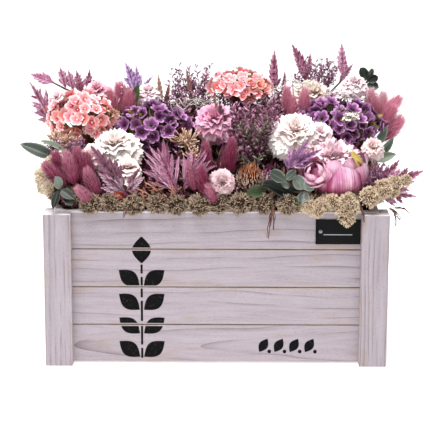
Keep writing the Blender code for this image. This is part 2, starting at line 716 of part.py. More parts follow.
TAILS = {
    "tails_left": ((-152, -78), (-154, -86, 192), (
        ((-179, -100, 216), (-199, -102, 239), 7.0),
        ((-175, -88, 220), (-188, -84, 247), 7.5),
        ((-166, -97, 220), (-174, -94, 250), 7.5),
        ((-158, -92, 222), (-162, -90, 254), 7.5),
        ((-148, -92, 220), (-152, -84, 248), 7.0),
        ((-140, -104, 206), (-149, -106, 233), 7.0),
        ((-145, -112, 198), (-159, -117, 214), 6.0),
    )),
    "tails_back_left": ((-122, 40), (-120, 32, 250), (
        ((-126, 22, 272), (-132, 20, 303), 8.5),
        ((-116, 34, 276), (-119, 34, 309), 8.5),
        ((-108, 22, 272), (-105, 20, 302), 8.0),
    )),
    "tails_centre": ((-10, -76), (-9, -86, 192), (
        ((-13, -90, 233), (-13, -88, 261), 6.0),
        ((-24, -100, 212), (-34, -100, 242), 6.0),
        ((-12, -108, 206), (-18, -110, 238), 6.0),
        ((12, -82, 224), (18, -78, 264), 7.5),
        ((-2, -112, 198), (-10, -117, 217), 5.5),
    )),
    "tails_right": ((171, 26), (184, 24, 240), (
        ((192, 24, 272), (187, 22, 305), 7.5),
        ((200, 36, 268), (204, 38, 298), 7.5),
        ((203, 26, 272), (223, 30, 294), 7.5),
        ((203, 10, 250), (223, 6, 273), 8.5),
        ((201, 12, 262), (214, 4, 288), 7.5),
    )),
}
for seed, (name, (foot, bunch_at, heads)) in enumerate(TAILS.items()):
    rng = random.Random(300 + seed)
    heads_made = [bunny_tail(base, tip, radius, rng) for base, tip, radius in heads]
    stalks = [stem(root(*foot), bunch_at, 2.2), knot(bunch_at, KNOT)]
    for base, tip, _ in heads:
        inside = np.asarray(base) + (np.asarray(tip, float) - base) * 0.25
        outward = (inside - bunch_at) / np.linalg.norm(inside - bunch_at)
        stalks.append(stem(bunch_at + outward * KNOT * 0.75, inside, 1.0, sides=3))
    grow(name, heads_made, ("tail_rose", TAIL_ROSE), stalks, one_head=False)

# Toothed leaves: for each spray its ribs, and each leaf's root, tip and width

LEAF_SPRAYS = {
    "leaf_left": ((((-148, 44), (-156, 34, 292)), ((-156, 34, 290), (-200, 26, 313)),
                   ((-150, 42, 215), (-201, 24, 263)), ((-150, 41, 213), (-147, 74, 228))), (
        ((-198, 26, 312), (-226, 25, 323), 11), ((-184, 28, 306), (-190, 25, 331), 9),
        ((-175, 30, 302), (-180, 25, 328), 9), ((-166, 32, 298), (-170, 25, 327), 9),
        ((-156, 34, 291), (-155, 28, 328), 9), ((-200, 25, 262), (-226, 18, 315), 10),
        ((-193, 27, 256), (-209, 24, 304), 9), ((-197, 26, 260), (-224, 26, 287), 9),
        ((-147, 73, 227), (-176, 100, 250), 15), ((-147, 70, 226), (-132, 104, 248), 14))),
    "leaf_lilac_back": ((((-100, 62), (-98, 60, 292)), ((-99, 61, 240), (-106, 80, 248))), (
        ((-98, 60, 291), (-112, 58, 332), 14), ((-98, 60, 280), (-121, 58, 308), 9),
        ((-98, 60, 290), (-99, 64, 328), 9), ((-98, 60, 285), (-80, 60, 316), 9),
        ((-106, 79, 247), (-120, 106, 258), 14), ((-104, 74, 246), (-90, 108, 238), 12))),
    "leaf_front_left": ((((-104, -80), (-106, -98, 209)),), (
        ((-106, -98, 209), (-147, -111, 260), 19), ((-106, -97, 205), (-140, -113, 228), 10),
        ((-106, -96, 201), (-138, -113, 208), 10))),
    "leaf_front_centre": ((((-46, -80), (-46, -97, 206)),), (
        ((-46, -95, 200), (-78, -102, 258), 14), ((-46, -97, 206), (-62, -97, 261), 14),
        ((-46, -96, 203), (-49, -92, 254), 10), ((-46, -94, 196), (-30, -99, 246), 9))),
    "leaf_back_right": ((((112, 76), (112, 76, 312)), ((112, 76, 270), (73, 70, 297)),
                         ((112, 76, 264), (158, 70, 312)), ((112, 76, 216), (118, 92, 228))), (
        ((73, 70, 296), (70, 68, 346), 14), ((80, 71, 292), (85, 70, 320), 8),
        ((112, 76, 308), (94, 72, 353), 16), ((112, 76, 312), (116, 72, 342), 9),
        ((158, 70, 312), (153, 66, 355), 14), ((152, 71, 306), (168, 66, 330), 8),
        ((116, 88, 225), (96, 112, 246), 14), ((118, 92, 227), (142, 112, 244), 15))),
    "leaf_right": ((((168, -80), (169, -81, 196)), ((168, -81, 193), (192, -84, 208))), (
        ((192, -84, 208), (241, -86, 229), 16), ((184, -83, 203), (233, -93, 200), 11),
        ((187, -84, 205), (214, -74, 240), 12))),
}
for name, (ribs, leaves) in LEAF_SPRAYS.items():
    finish = ("leaf_lilac", LEAF_LILAC) if "lilac" in name else ("leaf_mauve", LEAF_MAUVE)
    blades = []
    for k, (start, tip, width) in enumerate(leaves):
        outward = (0.25 * (-1) ** k, 1.0, 0.35)
        blades.append(toothed_leaf(start, tip, width, 3, 2.5 * (-1) ** k, outward))
    grow(name, blades, finish, [branch(a, b, 1.6) for a, b in ribs], one_head=False)

# Heather and statice: beaded twigs fan out from a small knot on the stem


def fan_tips(low, high, count, rng):
    """Seeded tips on a golden lattice within a box, for the twigs of a spray."""
    low, high = np.asarray(low, float), np.asarray(high, float)
    tips = []
    for k in range(count):
        share = ((k + 0.5) / count, (k * 0.6180339) % 1.0, (k * 0.7548777 + 0.3) % 1.0)
        jitter = np.array([rng.uniform(-0.04, 0.04) for _ in range(3)])
        tips.append(low + (high - low) * (np.array(share) + jitter))
    return tips


SPRAYS = {
    "heather_centre": ((46, -40), (45, -40, 214), (16, -68, 240), (76, 6, 304), 12, 4.0,
                       ("heather_mauve", HEATHER_MAUVE)),
    "statice_back_left": ((-22, 50), (-26, 52, 262), (-58, 34, 298), (-6, 78, 332), 9, 3.2,
                          ("statice_plum", STATICE_PLUM)),
    "statice_back_right": ((136, 74), (130, 72, 280), (98, 56, 310), (148, 86, 336), 8, 3.0,
                           ("statice_plum", STATICE_PLUM)),
}
for seed, (name, (foot, fork, low, high, count, bead, finish)) in enumerate(SPRAYS.items()):
    rng = random.Random(400 + seed)
    twigs = [beaded_twig(fork, tip, KNOT * 0.75, 0.9, bead, 2) for tip in fan_tips(low, high, count, rng)]
    grow(name, twigs, finish, [stem(root(*foot), fork, 1.8), knot(fork, KNOT)], one_head=False)

# Eucalyptus: for each sprig its twigs, and each leaf's root, tip and width

EUCALYPTUS = {
    "eucalyptus_left": ((((-168, -66), (-186, -68, 238)), ((-178, -67, 200), (-185, -112, 216))), (
        ((-186, -68, 237), (-231, -66, 256), 16), ((-185, -112, 216), (-190, -126, 190), 11),
        ((-182, -104, 213), (-166, -121, 197), 12), ((-184, -108, 215), (-174, -116, 226), 11))),
    "eucalyptus_front": ((((78, -80), (84, -104, 216)), ((82, -98, 208), (66, -108, 214))), (
        ((66, -108, 214), (56, -114, 231), 16), ((84, -104, 216), (84, -110, 238), 15),
        ((83, -101, 213), (105, -116, 218), 14), ((70, -106, 212), (58, -120, 204), 14),
        ((82, -98, 208), (100, -121, 203), 13))),
    "eucalyptus_back_right": ((((172, 62), (186, 60, 312)), ((177, 61, 208), (174, 92, 236))), (
        ((186, 60, 311), (176, 58, 327), 12), ((185, 60, 306), (200, 58, 302), 11),
        ((184, 60, 300), (170, 56, 302), 11), ((182, 60, 288), (198, 62, 282), 11),
        ((174, 92, 235), (158, 104, 250), 16), ((174, 87, 231), (190, 106, 246), 14),
        ((174, 82, 226), (170, 108, 222), 14))),
}
for name, (twigs, leaves) in EUCALYPTUS.items():
    leaf_shapes = [round_leaf(a, b, width, (0.2, 1.0, 0.5)) for a, b, width in leaves]
    twig_shapes = [branch(a, b, 1.3) for a, b in twigs]
    grow(name, leaf_shapes, ("eucalyptus_grey", EUCALYPTUS_GREY), twig_shapes, one_head=False)

# Reindeer moss along the rim, with a clump that hangs over the card

take_room("box", [rim_block])
card_room = [(x, y, z) for x in (TAG_MIDDLE[0] - TAG_SIZE[0] / 2, TAG_MIDDLE[0] + TAG_SIZE[0] / 2)
             for y in (card_back - TAG_THICK, card_back)
             for z in (TAG_MIDDLE[1] - TAG_SIZE[1] / 2, TAG_MIDDLE[1] + TAG_SIZE[1] / 2)]
take_room("card", [card_room])
moss_floor = RIM_HEIGHT + GAP
rng = random.Random(500)
front_path = ((-209, -100, 206, 12, 15), (-190, -106, 202, 12, 15), (-165, -108, 195, 10, 9),
              (0, -108, 194, 10, 8), (120, -108, 195, 10, 9), (165, -107, 198, 12, 12),
              (190, -104, 204, 14, 16), (214, -97, 210, 12, 13))
hanging = bmesh.new()
bmesh.ops.create_icosphere(hanging, subdivisions=2, radius=1.0)
for vert in hanging.verts:
    reach = rng.uniform(0.85, 1.15)
    vert.co = (np.array((150, -119, 181)) + np.array(vert.co) * reach * (12, 9, 15)) * MM
grow("moss_front", [moss_bank(front_path, 6, 46, rng, moss_floor)], ("moss_cream", MOSS_CREAM), [hanging])
back_path = ((-196, 100, 198, 14, 13), (-100, 102, 196, 14, 11), (100, 102, 196, 14, 11), (196, 100, 198, 14, 13))
grow("moss_back", [moss_bank(back_path, 6, 36, rng, moss_floor)], ("moss_cream", MOSS_CREAM))
for side, word in ((-1, "left"), (1, "right")):
    side_path = ((side * 186, -76, 198, 14, 13), (side * 186, 0, 196, 14, 11), (side * 186, 78, 198, 14, 13))
    bank = moss_bank(side_path, 6, 18, rng, moss_floor)
    grow(f"moss_{word}", [bank], ("moss_cream", MOSS_CREAM))

# The foam fills the box and rises to its ridge, with a plain hole for each stem

foam = bmesh.new()
inner_x, inner_y = inside_x - GAP, inside_y - GAP
for side_x in (-1, 1):
    for y in (-inner_y, inner_y):
        for z in (BASE_THICK + GAP, FOAM_EDGE):
            foam.verts.new(Vector((side_x * inner_x, y, z)) * MM)
    for y in (RIDGE_FRONT, RIDGE_BACK):
        foam.verts.new(Vector((side_x * RIDGE_HALF_WIDTH, y, FOAM_TOP)) * MM)
bmesh.ops.convex_hull(foam, input=foam.verts)
taken = [row for row in taken if row[0] not in ("box", "post", "card")]
grow("foam", [foam], ("foam_green", FOAM_GREEN))
bpy.data.collections.remove(helpers)
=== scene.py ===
"""The looks of a flower arrangement in a whitewashed wooden box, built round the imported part."""

import math

import bmesh
import bpy
import numpy as np
from mathutils import Matrix, Vector


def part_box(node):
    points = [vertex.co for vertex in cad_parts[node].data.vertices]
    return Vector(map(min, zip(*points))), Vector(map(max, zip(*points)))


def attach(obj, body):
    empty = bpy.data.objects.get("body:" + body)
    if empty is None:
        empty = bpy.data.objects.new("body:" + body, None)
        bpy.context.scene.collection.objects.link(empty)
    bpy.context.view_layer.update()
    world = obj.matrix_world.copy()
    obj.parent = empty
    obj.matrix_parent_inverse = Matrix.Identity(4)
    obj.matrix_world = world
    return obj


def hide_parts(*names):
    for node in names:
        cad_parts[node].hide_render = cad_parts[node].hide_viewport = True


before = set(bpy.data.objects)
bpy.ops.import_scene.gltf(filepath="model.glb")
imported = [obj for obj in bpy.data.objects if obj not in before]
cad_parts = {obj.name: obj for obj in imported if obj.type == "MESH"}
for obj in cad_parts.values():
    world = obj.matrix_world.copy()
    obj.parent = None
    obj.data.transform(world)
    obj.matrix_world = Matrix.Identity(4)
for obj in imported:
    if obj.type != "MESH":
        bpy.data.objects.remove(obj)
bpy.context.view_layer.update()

# The box is nailed from sawn softwood boards, brushed with a thin lilac-white wash. The wash
# lets the grain through and is rubbed off along the edges, where the raw wood shows tan.

MM = 0.001
HALF_WIDTH, HALF_DEPTH = 200.0, 120.0
POST_HEIGHT, POST_LEG, POST_THICK = 183.5, 32.0, 11.0
PLANK_THICK, PLANK_FOOT, PLANK_RIM, PLANK_ROWS = 10.0, 2.0, 185.5, 4
BASE_THICK, GAP, OPEN_BELOW, OPEN_ABOVE = 8.0, 0.3, 0.3, 0.5
BOARD_BEVEL, BOARD_WORN = 0.8, 1.3
WASH, WASH_THICK, WASH_THIN = (175, 164, 171), (192, 184, 191), (165, 154, 161)
# A painted highlight: a near-white band from 182.6 to 183.4 mm high, so that the tops of the posts
# look lit from above.
PAINTED_RIM_HIGHLIGHT, HIGHLIGHT_FROM, HIGHLIGHT_TO = (226, 220, 224), 182.6, 183.4
GRAIN_DARK, WOOD_RAW, PAINT_BLACK = (90, 72, 68), (166, 146, 131), (8, 8, 9)
STEM_LEFT, PAIR_STEP, TIP_FOOT, TIP_MIDDLE, TIP_LENGTH = 87.0, 29.0, 122.0, 138.5, 33.0
ROW_START, ROW_MIDDLE, ROW_STEP, ROW_HEIGHT, DOT_HEIGHT = 47.0, 83.0, 18.0, 22.5, 15.0


class Wire:
    """A number, vector or colour in a finish. Arithmetic on numbers adds Math nodes."""

    def __init__(self, socket):
        self.socket = socket

    def node(self, kind, settings, sockets, out=0):
        """A new node: its settings are set first, then the values or links of its sockets."""
        tree = self.socket.id_data
        made = tree.nodes.new(kind)
        for key, value in settings.items():
            setattr(made, key, value)
        for key, value in sockets.items():
            if isinstance(value, Wire):
                tree.links.new(value.socket, made.inputs[key])
            else:
                made.inputs[key].default_value = value
        return Wire(made.outputs[out])

    def math(self, operation, *others):
        """An operation on this number and the others."""
        sockets = dict(enumerate((self, *others)))
        return self.node("ShaderNodeMath", {"operation": operation}, sockets)

    def __add__(self, other):
        return self.math("ADD", other)

    def __mul__(self, other):
        return self.math("MULTIPLY", other)

    __radd__, __rmul__ = __add__, __mul__

    def __sub__(self, other):
        return self.math("SUBTRACT", other)

    def __rsub__(self, other):
        return self * -1.0 + other

    def __truediv__(self, other):
        return self.math("DIVIDE", other)

    def __pow__(self, other):
        return self.math("POWER", other)

    def __abs__(self):
        return self.math("ABSOLUTE")

    def between(self, low, high):
        """0 below low, 1 above high, smooth between them."""
        kind = {"interpolation_type": "SMOOTHSTEP"}
        return self.node("ShaderNodeMapRange", kind, {0: self, 1: low, 2: high, 3: 0.0, 4: 1.0})

    def parts(self):
        """The three numbers of a vector."""
        first = self.node("ShaderNodeSeparateXYZ", {}, {0: self})
        return first, *(Wire(output) for output in first.socket.node.outputs[1:])

    def with_others(self, second, third):
        """A vector of this number and two more."""
        return self.node("ShaderNodeCombineXYZ", {}, {0: self, 1: second, 2: third})

    def cloud(self, scale, detail=2.0):
        """Noise from 0 to 1 at this vector."""
        sockets = {"Vector": self, "Scale": scale, "Detail": detail}
        return self.node("ShaderNodeTexNoise", {}, sockets)

    def blend(self, first, second):
        """The first colour where this number is 0, the second where it is 1. A colour of three
        numbers is one read from 0 to 255, and is turned from sRGB to linear."""
        sockets = {0: self, 6: first, 7: second}
        for key in (6, 7):
            if isinstance(sockets[key], tuple):
                eye = np.array(sockets[key]) / 255
                linear = np.where(eye < 0.04045, eye / 12.92, ((eye + 0.055) / 1.055) ** 2.4)
                sockets[key] = (*linear.tolist(), 1.0)
        return self.node("ShaderNodeMix", {"data_type": "RGBA"}, sockets, 2)


class Finish:
    """A Principled material. Plain numbers are set on its sockets, and wires feed the rest."""

    def __init__(self, name, **numbers):
        self.material = bpy.data.materials.new(name)
        self.material.use_nodes = True
        self.shader = self.material.node_tree.nodes["Principled BSDF"]
        for key, value in numbers.items():
            socket = key.replace("_", " ").title().replace("Ior", "IOR")
            self.shader.inputs[socket].default_value = value
        self.start = Wire(self.shader.outputs[0])

    def grown(self):
        """The three values that each piece stores at its points."""
        named = {"attribute_name": "grown"}
        return self.start.node("ShaderNodeAttribute", named, {}, "Vector").parts()

    def place(self):
        """The point on the object, in metres."""
        return self.start.node("ShaderNodeTexCoord", {}, {}, "Object")

    def feed(self, colour, roughness=None, height=None, relief=0.5, distance=0.001):
        """The colour and roughness wired to the shader, with a bump from the height."""
        wires = {"Base Color": colour, "Roughness": roughness}
        if height is not None:
            sockets = {"Height": height, "Strength": relief, "Distance": distance}
            wires["Normal"] = self.start.node("ShaderNodeBump", {}, sockets)
        for key, wire in wires.items():
            if wire is not None:
                self.material.node_tree.links.new(wire.socket, self.shader.inputs[key])
        return self.material


class Piece:
    """One piece of the object, gathered from grids of points in millimetres."""

    def __init__(self):
        self.points, self.faces, self.finish_of, self.values, self.count = [], [], [], [], 0

    def add(self, grid, values=(0, 0, 0), finish=0, wrap=False):
        """Grids (..., rows, columns, 3), and three values for their points that a finish reads."""
        rows, columns = grid.shape[-3:-1]
        row, column = np.arange(rows - 1)[:, None], np.arange(columns - (not wrap))
        after = (column + 1) % columns
        here, above = row * columns, (row + 1) * columns
        one = np.stack((here + column, here + after, above + after, above + column), axis=-1)
        copies = np.arange(grid.size // (3 * rows * columns))[:, None, None]
        faces = (one.reshape(-1, 4) + copies * rows * columns).reshape(-1, 4) + self.count
        spread = np.stack([np.broadcast_to(value, grid.shape[:-1]) for value in values], axis=-1)
        self.points.append(grid.reshape(-1, 3))
        self.values.append(spread.reshape(-1, 3))
        self.faces.append(faces)
        self.finish_of.append(np.full(len(faces), finish))
        self.count += grid.size // 3

    def make(self, name, finishes, slot, *nodes):
        """The mesh object: seams and poles merged, riding on the box, standing for its nodes."""
        points = np.concatenate(self.points) * MM
        faces = np.concatenate(self.faces)
        mesh = bpy.data.meshes.new(name)
        mesh.vertices.add(len(points))
        mesh.vertices.foreach_set("co", points.ravel())
        mesh.loops.add(faces.size)
        mesh.loops.foreach_set("vertex_index", faces.ravel())
        mesh.polygons.add(len(faces))
        mesh.polygons.foreach_set("loop_start", np.arange(0, faces.size, 4))
        mesh.polygons.foreach_set("material_index", np.concatenate(self.finish_of))
        grown = mesh.attributes.new("grown", "FLOAT_VECTOR", "POINT")
        grown.data.foreach_set("vector", np.concatenate(self.values).ravel())
        mesh.update(calc_edges=True)
        merged = bmesh.new()
        merged.from_mesh(mesh)
        bmesh.ops.remove_doubles(merged, verts=merged.verts, dist=1e-6)
        merged.to_mesh(mesh)
        merged.free()
        mesh.polygons.foreach_set("use_smooth", np.full(len(mesh.polygons), True))
        for finish in finishes:
            mesh.materials.append(finish)
        made = bpy.data.objects.new(name, mesh)
        bpy.context.scene.collection.objects.link(made)
        if slot:
            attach(made, "root")
        if nodes:
            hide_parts(*nodes)
        return made


def board(piece, corner, opposite, axis, rng, bevel=BOARD_BEVEL, worn=BOARD_WORN):
    """A sawn board between two corners, drawn along its axis as rings closed at both ends.

    A ring is a rectangle whose corners are arcs of three points with a point on each side, and
    it shrinks by an inset towards the ends. Slow sine waves make the faces a little uneven.
    Its values are the grain's length and width, in millimetres from its middle, and wear."""
    low, high = np.sort(np.array((corner, opposite), float), axis=0)
    order = [(1, 2, 0), (2, 0, 1), (0, 1, 2)][axis]
    half, middle = ((high - low) / 2)[list(order)], ((high + low) / 2)[list(order)]
    ends = np.array((0.0, 0.0, 0.25, 0.8, worn)) / (2 * half[2])
    insets = (min(half[:2]) - 0.05, bevel, 0.3, 0.0, 0.0)
    along = np.concatenate([ends, np.linspace(0.06, 0.94, 23), 1 - ends[::-1]])
    shrink = np.concatenate([insets, np.zeros(23), insets[::-1]])
    inset = shrink[:, None, None, None]
    bend = np.maximum(bevel - inset, 0.02)
    turn = math.pi / 2 * (np.arange(4)[:, None] + np.array((0.0, 0.0, 0.5, 1.0, 1.0)))
    out = np.stack([np.cos(turn), np.sin(turn)], axis=-1)
    ahead = np.stack([-np.sin(turn), np.cos(turn)], axis=-1) * np.array((-1, 0, 0, 0, 1))[:, None]
    corners = np.array(((1, 1), (-1, 1), (-1, -1), (1, -1)))[:, None] * (half[:2] - inset - bend)
    section = corners + bend * out + np.minimum(worn, min(half[:2]) - inset) * ahead
    section = section.reshape(len(along), 20, 2) * np.where(shrink > 1, 0.02, 1.0)[:, None, None]
    wave = 0.05 * np.sin(along * 17 + rng.uniform(0, 0.4, len(along))) * (shrink == 0)
    local = np.empty((len(along), 20, 3))
    local[..., :2] = section + middle[:2] + wave[:, None, None] * np.sign(section)
    local[..., 2] = (middle[2] + half[2] * (2 * along - 1))[:, None]
    grid = np.empty_like(local)
    grid[..., list(order)] = local
    end_wear = 0.5 * ((shrink > 0) & (shrink < 1))[:, None]
    wear = np.maximum(np.tile((0.0, 0.9, 1.0, 0.9, 0.0), 4), end_wear)
    wide = 0 if half[0] > half[1] else 1
    length = local[..., 2] - middle[2] + rng.uniform(-1.2, 1.2) * half[2]
    width = local[..., wide] - middle[wide] + rng.uniform(-14, 14) + rng.integers(0, 2) * 90
    piece.add(grid, (length, width, wear), wrap=True)


def inside(distance, soft=0.3):
    """1 where the distance in millimetres is above 0, with a soft edge."""
    return distance.between(-soft, soft)


def stencil_marks(place):
    """Sprigs of black leaves: 1 inside a leaf of the tall sprig or of the small row.

    A leaf lies where the distance across it is less than a sine of the distance along it. The
    tall sprig folds x about its stem and repeats its pair of leaves with the height."""
    x, _, z = place.parts()
    x, z = x / MM, z / MM
    fold = abs(x + STEM_LEFT)
    step = (z - 6.0).math("MODULO", PAIR_STEP)
    along = fold * 0.78 + step * 0.62 - 3.0
    shares = (along / 31.0, (z - TIP_FOOT) / TIP_LENGTH)
    leaf, tip = (share.math("MAXIMUM", 0.0).math("MINIMUM", 1.0) for share in shares)
    pair = inside((leaf * math.pi).math("SINE") * 9.2 - abs(step * 0.78 - fold * 0.62))
    pair = pair * inside(fold - 2.2) * inside(27.0 - fold)
    tip = inside((tip * math.pi).math("SINE") * 11.0 - fold) * inside(16.0 - abs(z - TIP_MIDDLE))
    stalk = inside(1.3 - fold) * inside(abs(step - 15.0) - 2.0)
    tall = (pair + stalk).math("MINIMUM", 1.0) * inside(z - 6.5) * inside(121.0 - z) + tip
    cell = (x - ROW_START).math("MODULO", ROW_STEP) - ROW_STEP / 2
    rise, side = (z - ROW_HEIGHT) * 0.85 + cell * 0.5, cell * 0.85 - (z - ROW_HEIGHT) * 0.5
    small = inside((rise / 9.5 * (math.pi / 2)).math("COSINE") * 5.4 - abs(side), 0.25)
    small = small * inside(9.5 - abs(rise), 0.2)
    dots = inside(2.3 - ((cell - 7.0) ** 2.0 + (z - DOT_HEIGHT) ** 2.0).math("SQRT"), 0.2)
    row = (small + dots).math("MINIMUM", 1.0) * inside(36.0 - abs(x - ROW_MIDDLE))
    return (tall + row).math("MINIMUM", 1.0)


def whitewash(name, painted=False, line_gap=13.0, arc=0.075, wander=24.0, sharp=11.0):
    """Pale wash over softwood: thin dark growth lines at about the gap, cut as long ellipses,
    fine fibres and short pores, tan where the wash has soaked in or the edges are rubbed,
    and a painted highlight in a near-white band just under the rim."""
    finish = Finish(name, roughness=0.8, specular_ior_level=0.12)
    length, width, wear = finish.grown()

    def noise(stretch, across, layer=0.0, detail=2.0):
        """Noise drawn out along the grain, at the length times the stretch and across it."""
        return (length * stretch).with_others(across, layer).cloud(1.0, detail)

    slow, quick = noise(0.005, width * 0.03) - 0.5, noise(0.03, width * 0.02, 6.0) - 0.5
    bent = width + slow * wander + quick
    rings = (bent * bent + (length * arc) * (length * arc)).math("SQRT")
    near = rings / line_gap + (rings * 0.05).with_others(3.0, 1.0).cloud(1.0, 1.0) * 1.6
    here = noise(0.012, width * 0.05, 4.0)
    line = (near.math("FRACT") ** sharp) * here.between(0.36, 0.56)
    second = ((near * 3.0 + 0.35).math("FRACT") ** 6.0) * here.between(0.64, 0.38)
    fibre = noise(0.035, bent * 2.3, detail=4.0)
    pores = noise(0.32, bent * 2.6, 9.0, 1.0).between(0.60, 0.74)
    colour = noise(0.008, bent * 0.16, 7.0, 3.0).between(0.35, 0.7).blend(WASH, WASH_THIN)
    colour = (fibre.between(0.42, 0.75) * 0.55).blend(colour, WASH_THICK)
    colour = (noise(0.016, width * 0.06, 2.0).between(0.54, 0.76) * 0.50).blend(colour, WOOD_RAW)
    colour = (pores * 0.52 + second * 0.09).blend(colour, GRAIN_DARK)
    colour = (line * 0.62).blend(colour, GRAIN_DARK)
    rub = (wear * (noise(0.08, width * 0.5, 3.0, 3.0) * 1.5)).between(0.42, 0.9)
    colour = (rub * 0.85).blend(colour, WOOD_RAW)
    # Painted highlight: near-white in the band just under the rim, standing for the light on the tops
    # of the posts and the upper edge of the planks.
    rim = (finish.place().parts()[2] / MM).between(HIGHLIGHT_FROM, HIGHLIGHT_TO)
    colour = (rim * 0.85).blend(colour, PAINTED_RIM_HIGHLIGHT)
    roughness = fibre * 0.12 + 0.74
    if painted:
        worn_off = (1.25 - pores).between(0.2, 0.4) * (0.6 - wear).between(0.0, 0.2)
        marks = stencil_marks(finish.place()) * worn_off
        colour = marks.blend(colour, PAINT_BLACK)
    return finish.feed(colour, roughness, fibre * 0.4 - line - pores * 0.4, 0.35, 0.0005)


box_rng = np.random.default_rng(11)
wash_plain = whitewash("whitewashed_wood")
wash_front = whitewash("whitewashed_wood_stencilled", painted=True)
wash_post = whitewash("whitewashed_post", line_gap=5.0, arc=0.012, wander=9.0, sharp=4.0)

for side_x, word_x in ((-1, "left"), (1, "right")):
    for side_y, word_y in ((-1, "front"), (1, "back")):
        post = Piece()
        for start, end in (
            ((0, 0), (POST_LEG, POST_THICK)),
            ((0, POST_THICK), (POST_THICK, POST_LEG)),
        ):
            corners = [
                (side_x * (HALF_WIDTH - x), side_y * (HALF_DEPTH - y), z)
                for (x, y), z in ((start, 0), (end, POST_HEIGHT))
            ]
            board(post, *corners, 2, box_rng)
        name = f"post_{word_x}_{word_y}"
        post.make(f"corner_{name}", [wash_post], "whitewash", name)

out_x, out_y = HALF_WIDTH - POST_THICK - GAP, HALF_DEPTH - POST_THICK - GAP
in_x, in_y = out_x - PLANK_THICK, out_y - PLANK_THICK
row_height = (PLANK_RIM - PLANK_FOOT) / PLANK_ROWS
for row in range(PLANK_ROWS):
    foot = PLANK_FOOT + row * row_height
    for word, corner, opposite, kind in (
        ("front", (-out_x, -in_y), (out_x, -out_y), "long"),
        ("back", (-out_x, in_y), (out_x, out_y), "long"),
        ("left", (-in_x, GAP - in_y), (-out_x, in_y - GAP), "end"),
        ("right", (in_x, GAP - in_y), (out_x, in_y - GAP), "end"),
    ):
        plank = Piece()
        top = foot + row_height - OPEN_ABOVE
        board(plank, (*corner, foot + OPEN_BELOW), (*opposite, top), int(kind == "end"), box_rng)
        finish = wash_front if word == "front" else wash_plain
        name = f"plank_{word}_{row + 1}"
        plank.make(f"{kind}_{name}", [finish], "whitewash", name)

base = Piece()
board(base, (GAP - in_x, GAP - in_y, 0), (in_x - GAP, in_y - GAP, BASE_THICK), 0, box_rng)
base.make("bottom_board", [wash_plain], "whitewash", "base_board")

# The card is stiff black board with a faint laid grain, cut with crisp corners. It hangs on one
# small steel nail and carries nothing but a thin rule.

CARD_BEVEL, CARD_WORN = 0.35, 0.45
RULE_AT, RULE_HEIGHT, RULE_HALF_LENGTH, RULE_HALF_THICK = 141.0, 158.0, 17.0, 0.45


def dress(node, material):
    """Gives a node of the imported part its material."""
    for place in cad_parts[node].material_slots:
        place.material = material


card_finish = Finish("black_card", roughness=0.6, specular_ior_level=0.12)
x, _, z = card_finish.place().parts()
laid = (x * 90.0).with_others(z * 2600.0, 0.0).cloud(1.0)
rule = inside(RULE_HALF_THICK - abs(z / MM - RULE_HEIGHT), 0.2)
rule = rule * (RULE_HALF_LENGTH - abs(x / MM - RULE_AT)).between(0.0, 0.6)
ink = ((laid - 0.5) * 0.5 + 0.15).blend((9, 9, 11), (26, 25, 29))
card_finish.feed((rule * 0.8).blend(ink, (196, 194, 198)), laid * 0.2 + 0.5, laid, 0.2, 0.0002)
card = Piece()
board(card, *(np.array(corner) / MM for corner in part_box("tag")), 0, box_rng, CARD_BEVEL, CARD_WORN)
card.make("hanging_card", [card_finish.material], "card_black", "tag")

steel = Finish("nail_steel", metallic=1.0, roughness=0.45)
worn_steel = steel.place().cloud(900.0, 3.0)
steel_grey = worn_steel.blend((112, 112, 118), (150, 150, 156))
dress("nail", steel.feed(steel_grey, worn_steel * 0.25 + 0.35))

# The foam fills the box and rises to a ridge, and every stem is pushed into it. A thicket of
# short dark leaves and dry bristles is stuck all over it, so that no foam shows. The dark and
# plum leaves are real filler and also painted shade: their dark colours stand for the shade
# deep between the heads.

ANY_TURN = (0, 6.3)


def unit(vectors):
    """The vectors, each made 1 long."""
    return vectors / np.maximum(np.linalg.norm(vectors, axis=-1, keepdims=True), 1e-9)


def headings(along, roll=0.0):
    """Axes across, up and along for each direction, turned by the roll about it."""
    along = unit(np.atleast_2d(np.asarray(along, float)))
    across = np.cross(along, (0.0, 0.0, 1.0))
    flat = np.linalg.norm(across, axis=1, keepdims=True) < 1e-3
    across = unit(np.where(flat, (1.0, 0.0, 0.0), across))
    up = np.cross(along, across)
    roll = np.broadcast_to(roll, len(along))[:, None]
    turned = (across * np.cos(roll) + up * np.sin(roll), up * np.cos(roll) - across * np.sin(roll))
    return np.stack([*turned, along], axis=1)


def placed(shape, axes, origins, sizes):
    """Copies of a shape (rows, columns, 3), or a shape for each, scaled, turned
    to the axes and set at the origins."""
    sizes = np.broadcast_to(np.asarray(sizes, float), (len(axes), 3))
    return (shape * sizes[:, None, None]) @ axes[:, None] + np.atleast_2d(origins)[:, None, None]


def spans(rows, columns):
    """0 to 1 down the rows of a grid, and -1 to 1 across its columns."""
    return np.linspace(0, 1, rows)[:, None], np.linspace(-1, 1, columns)


def points_at(x, y, z):
    """Points from their three coordinates, which are numbers or arrays."""
    return np.stack(np.broadcast_arrays(x, y, z), axis=-1)


def leaf_shape(rows, columns, bow=0.0, fold=0.0, point=0.8):
    """A leaf of length 1 along z and width 1 along x: its half width is a sine of the length to
    the power of the point, it bows along y as a parabola, and its halves fold up from the rib."""
    u, v = spans(rows, columns)
    half = 0.5 * np.sin(math.pi * u**point) ** 0.75
    return points_at(half * v, bow * u * u + fold * np.abs(v) * half, u)


def leaf_values(grids, chances):
    """Values for leaves: -1 to 1 across, 0 to 1 along, and a chance for each leaf."""
    along, across = spans(*grids.shape[-3:-1])
    return across, along, np.asarray(chances)[:, None, None]


def foam_top(x, y):
    """The height of the foam: from its edge at the planks evenly up to its ridge."""
    end, front, back = (178.7 - np.abs(x)) / 58.7, (98.7 + y) / 113.7, (98.7 - y) / 53.7
    return 168 + 70 * np.clip(np.minimum(end, np.minimum(front, back)), 0, 1)


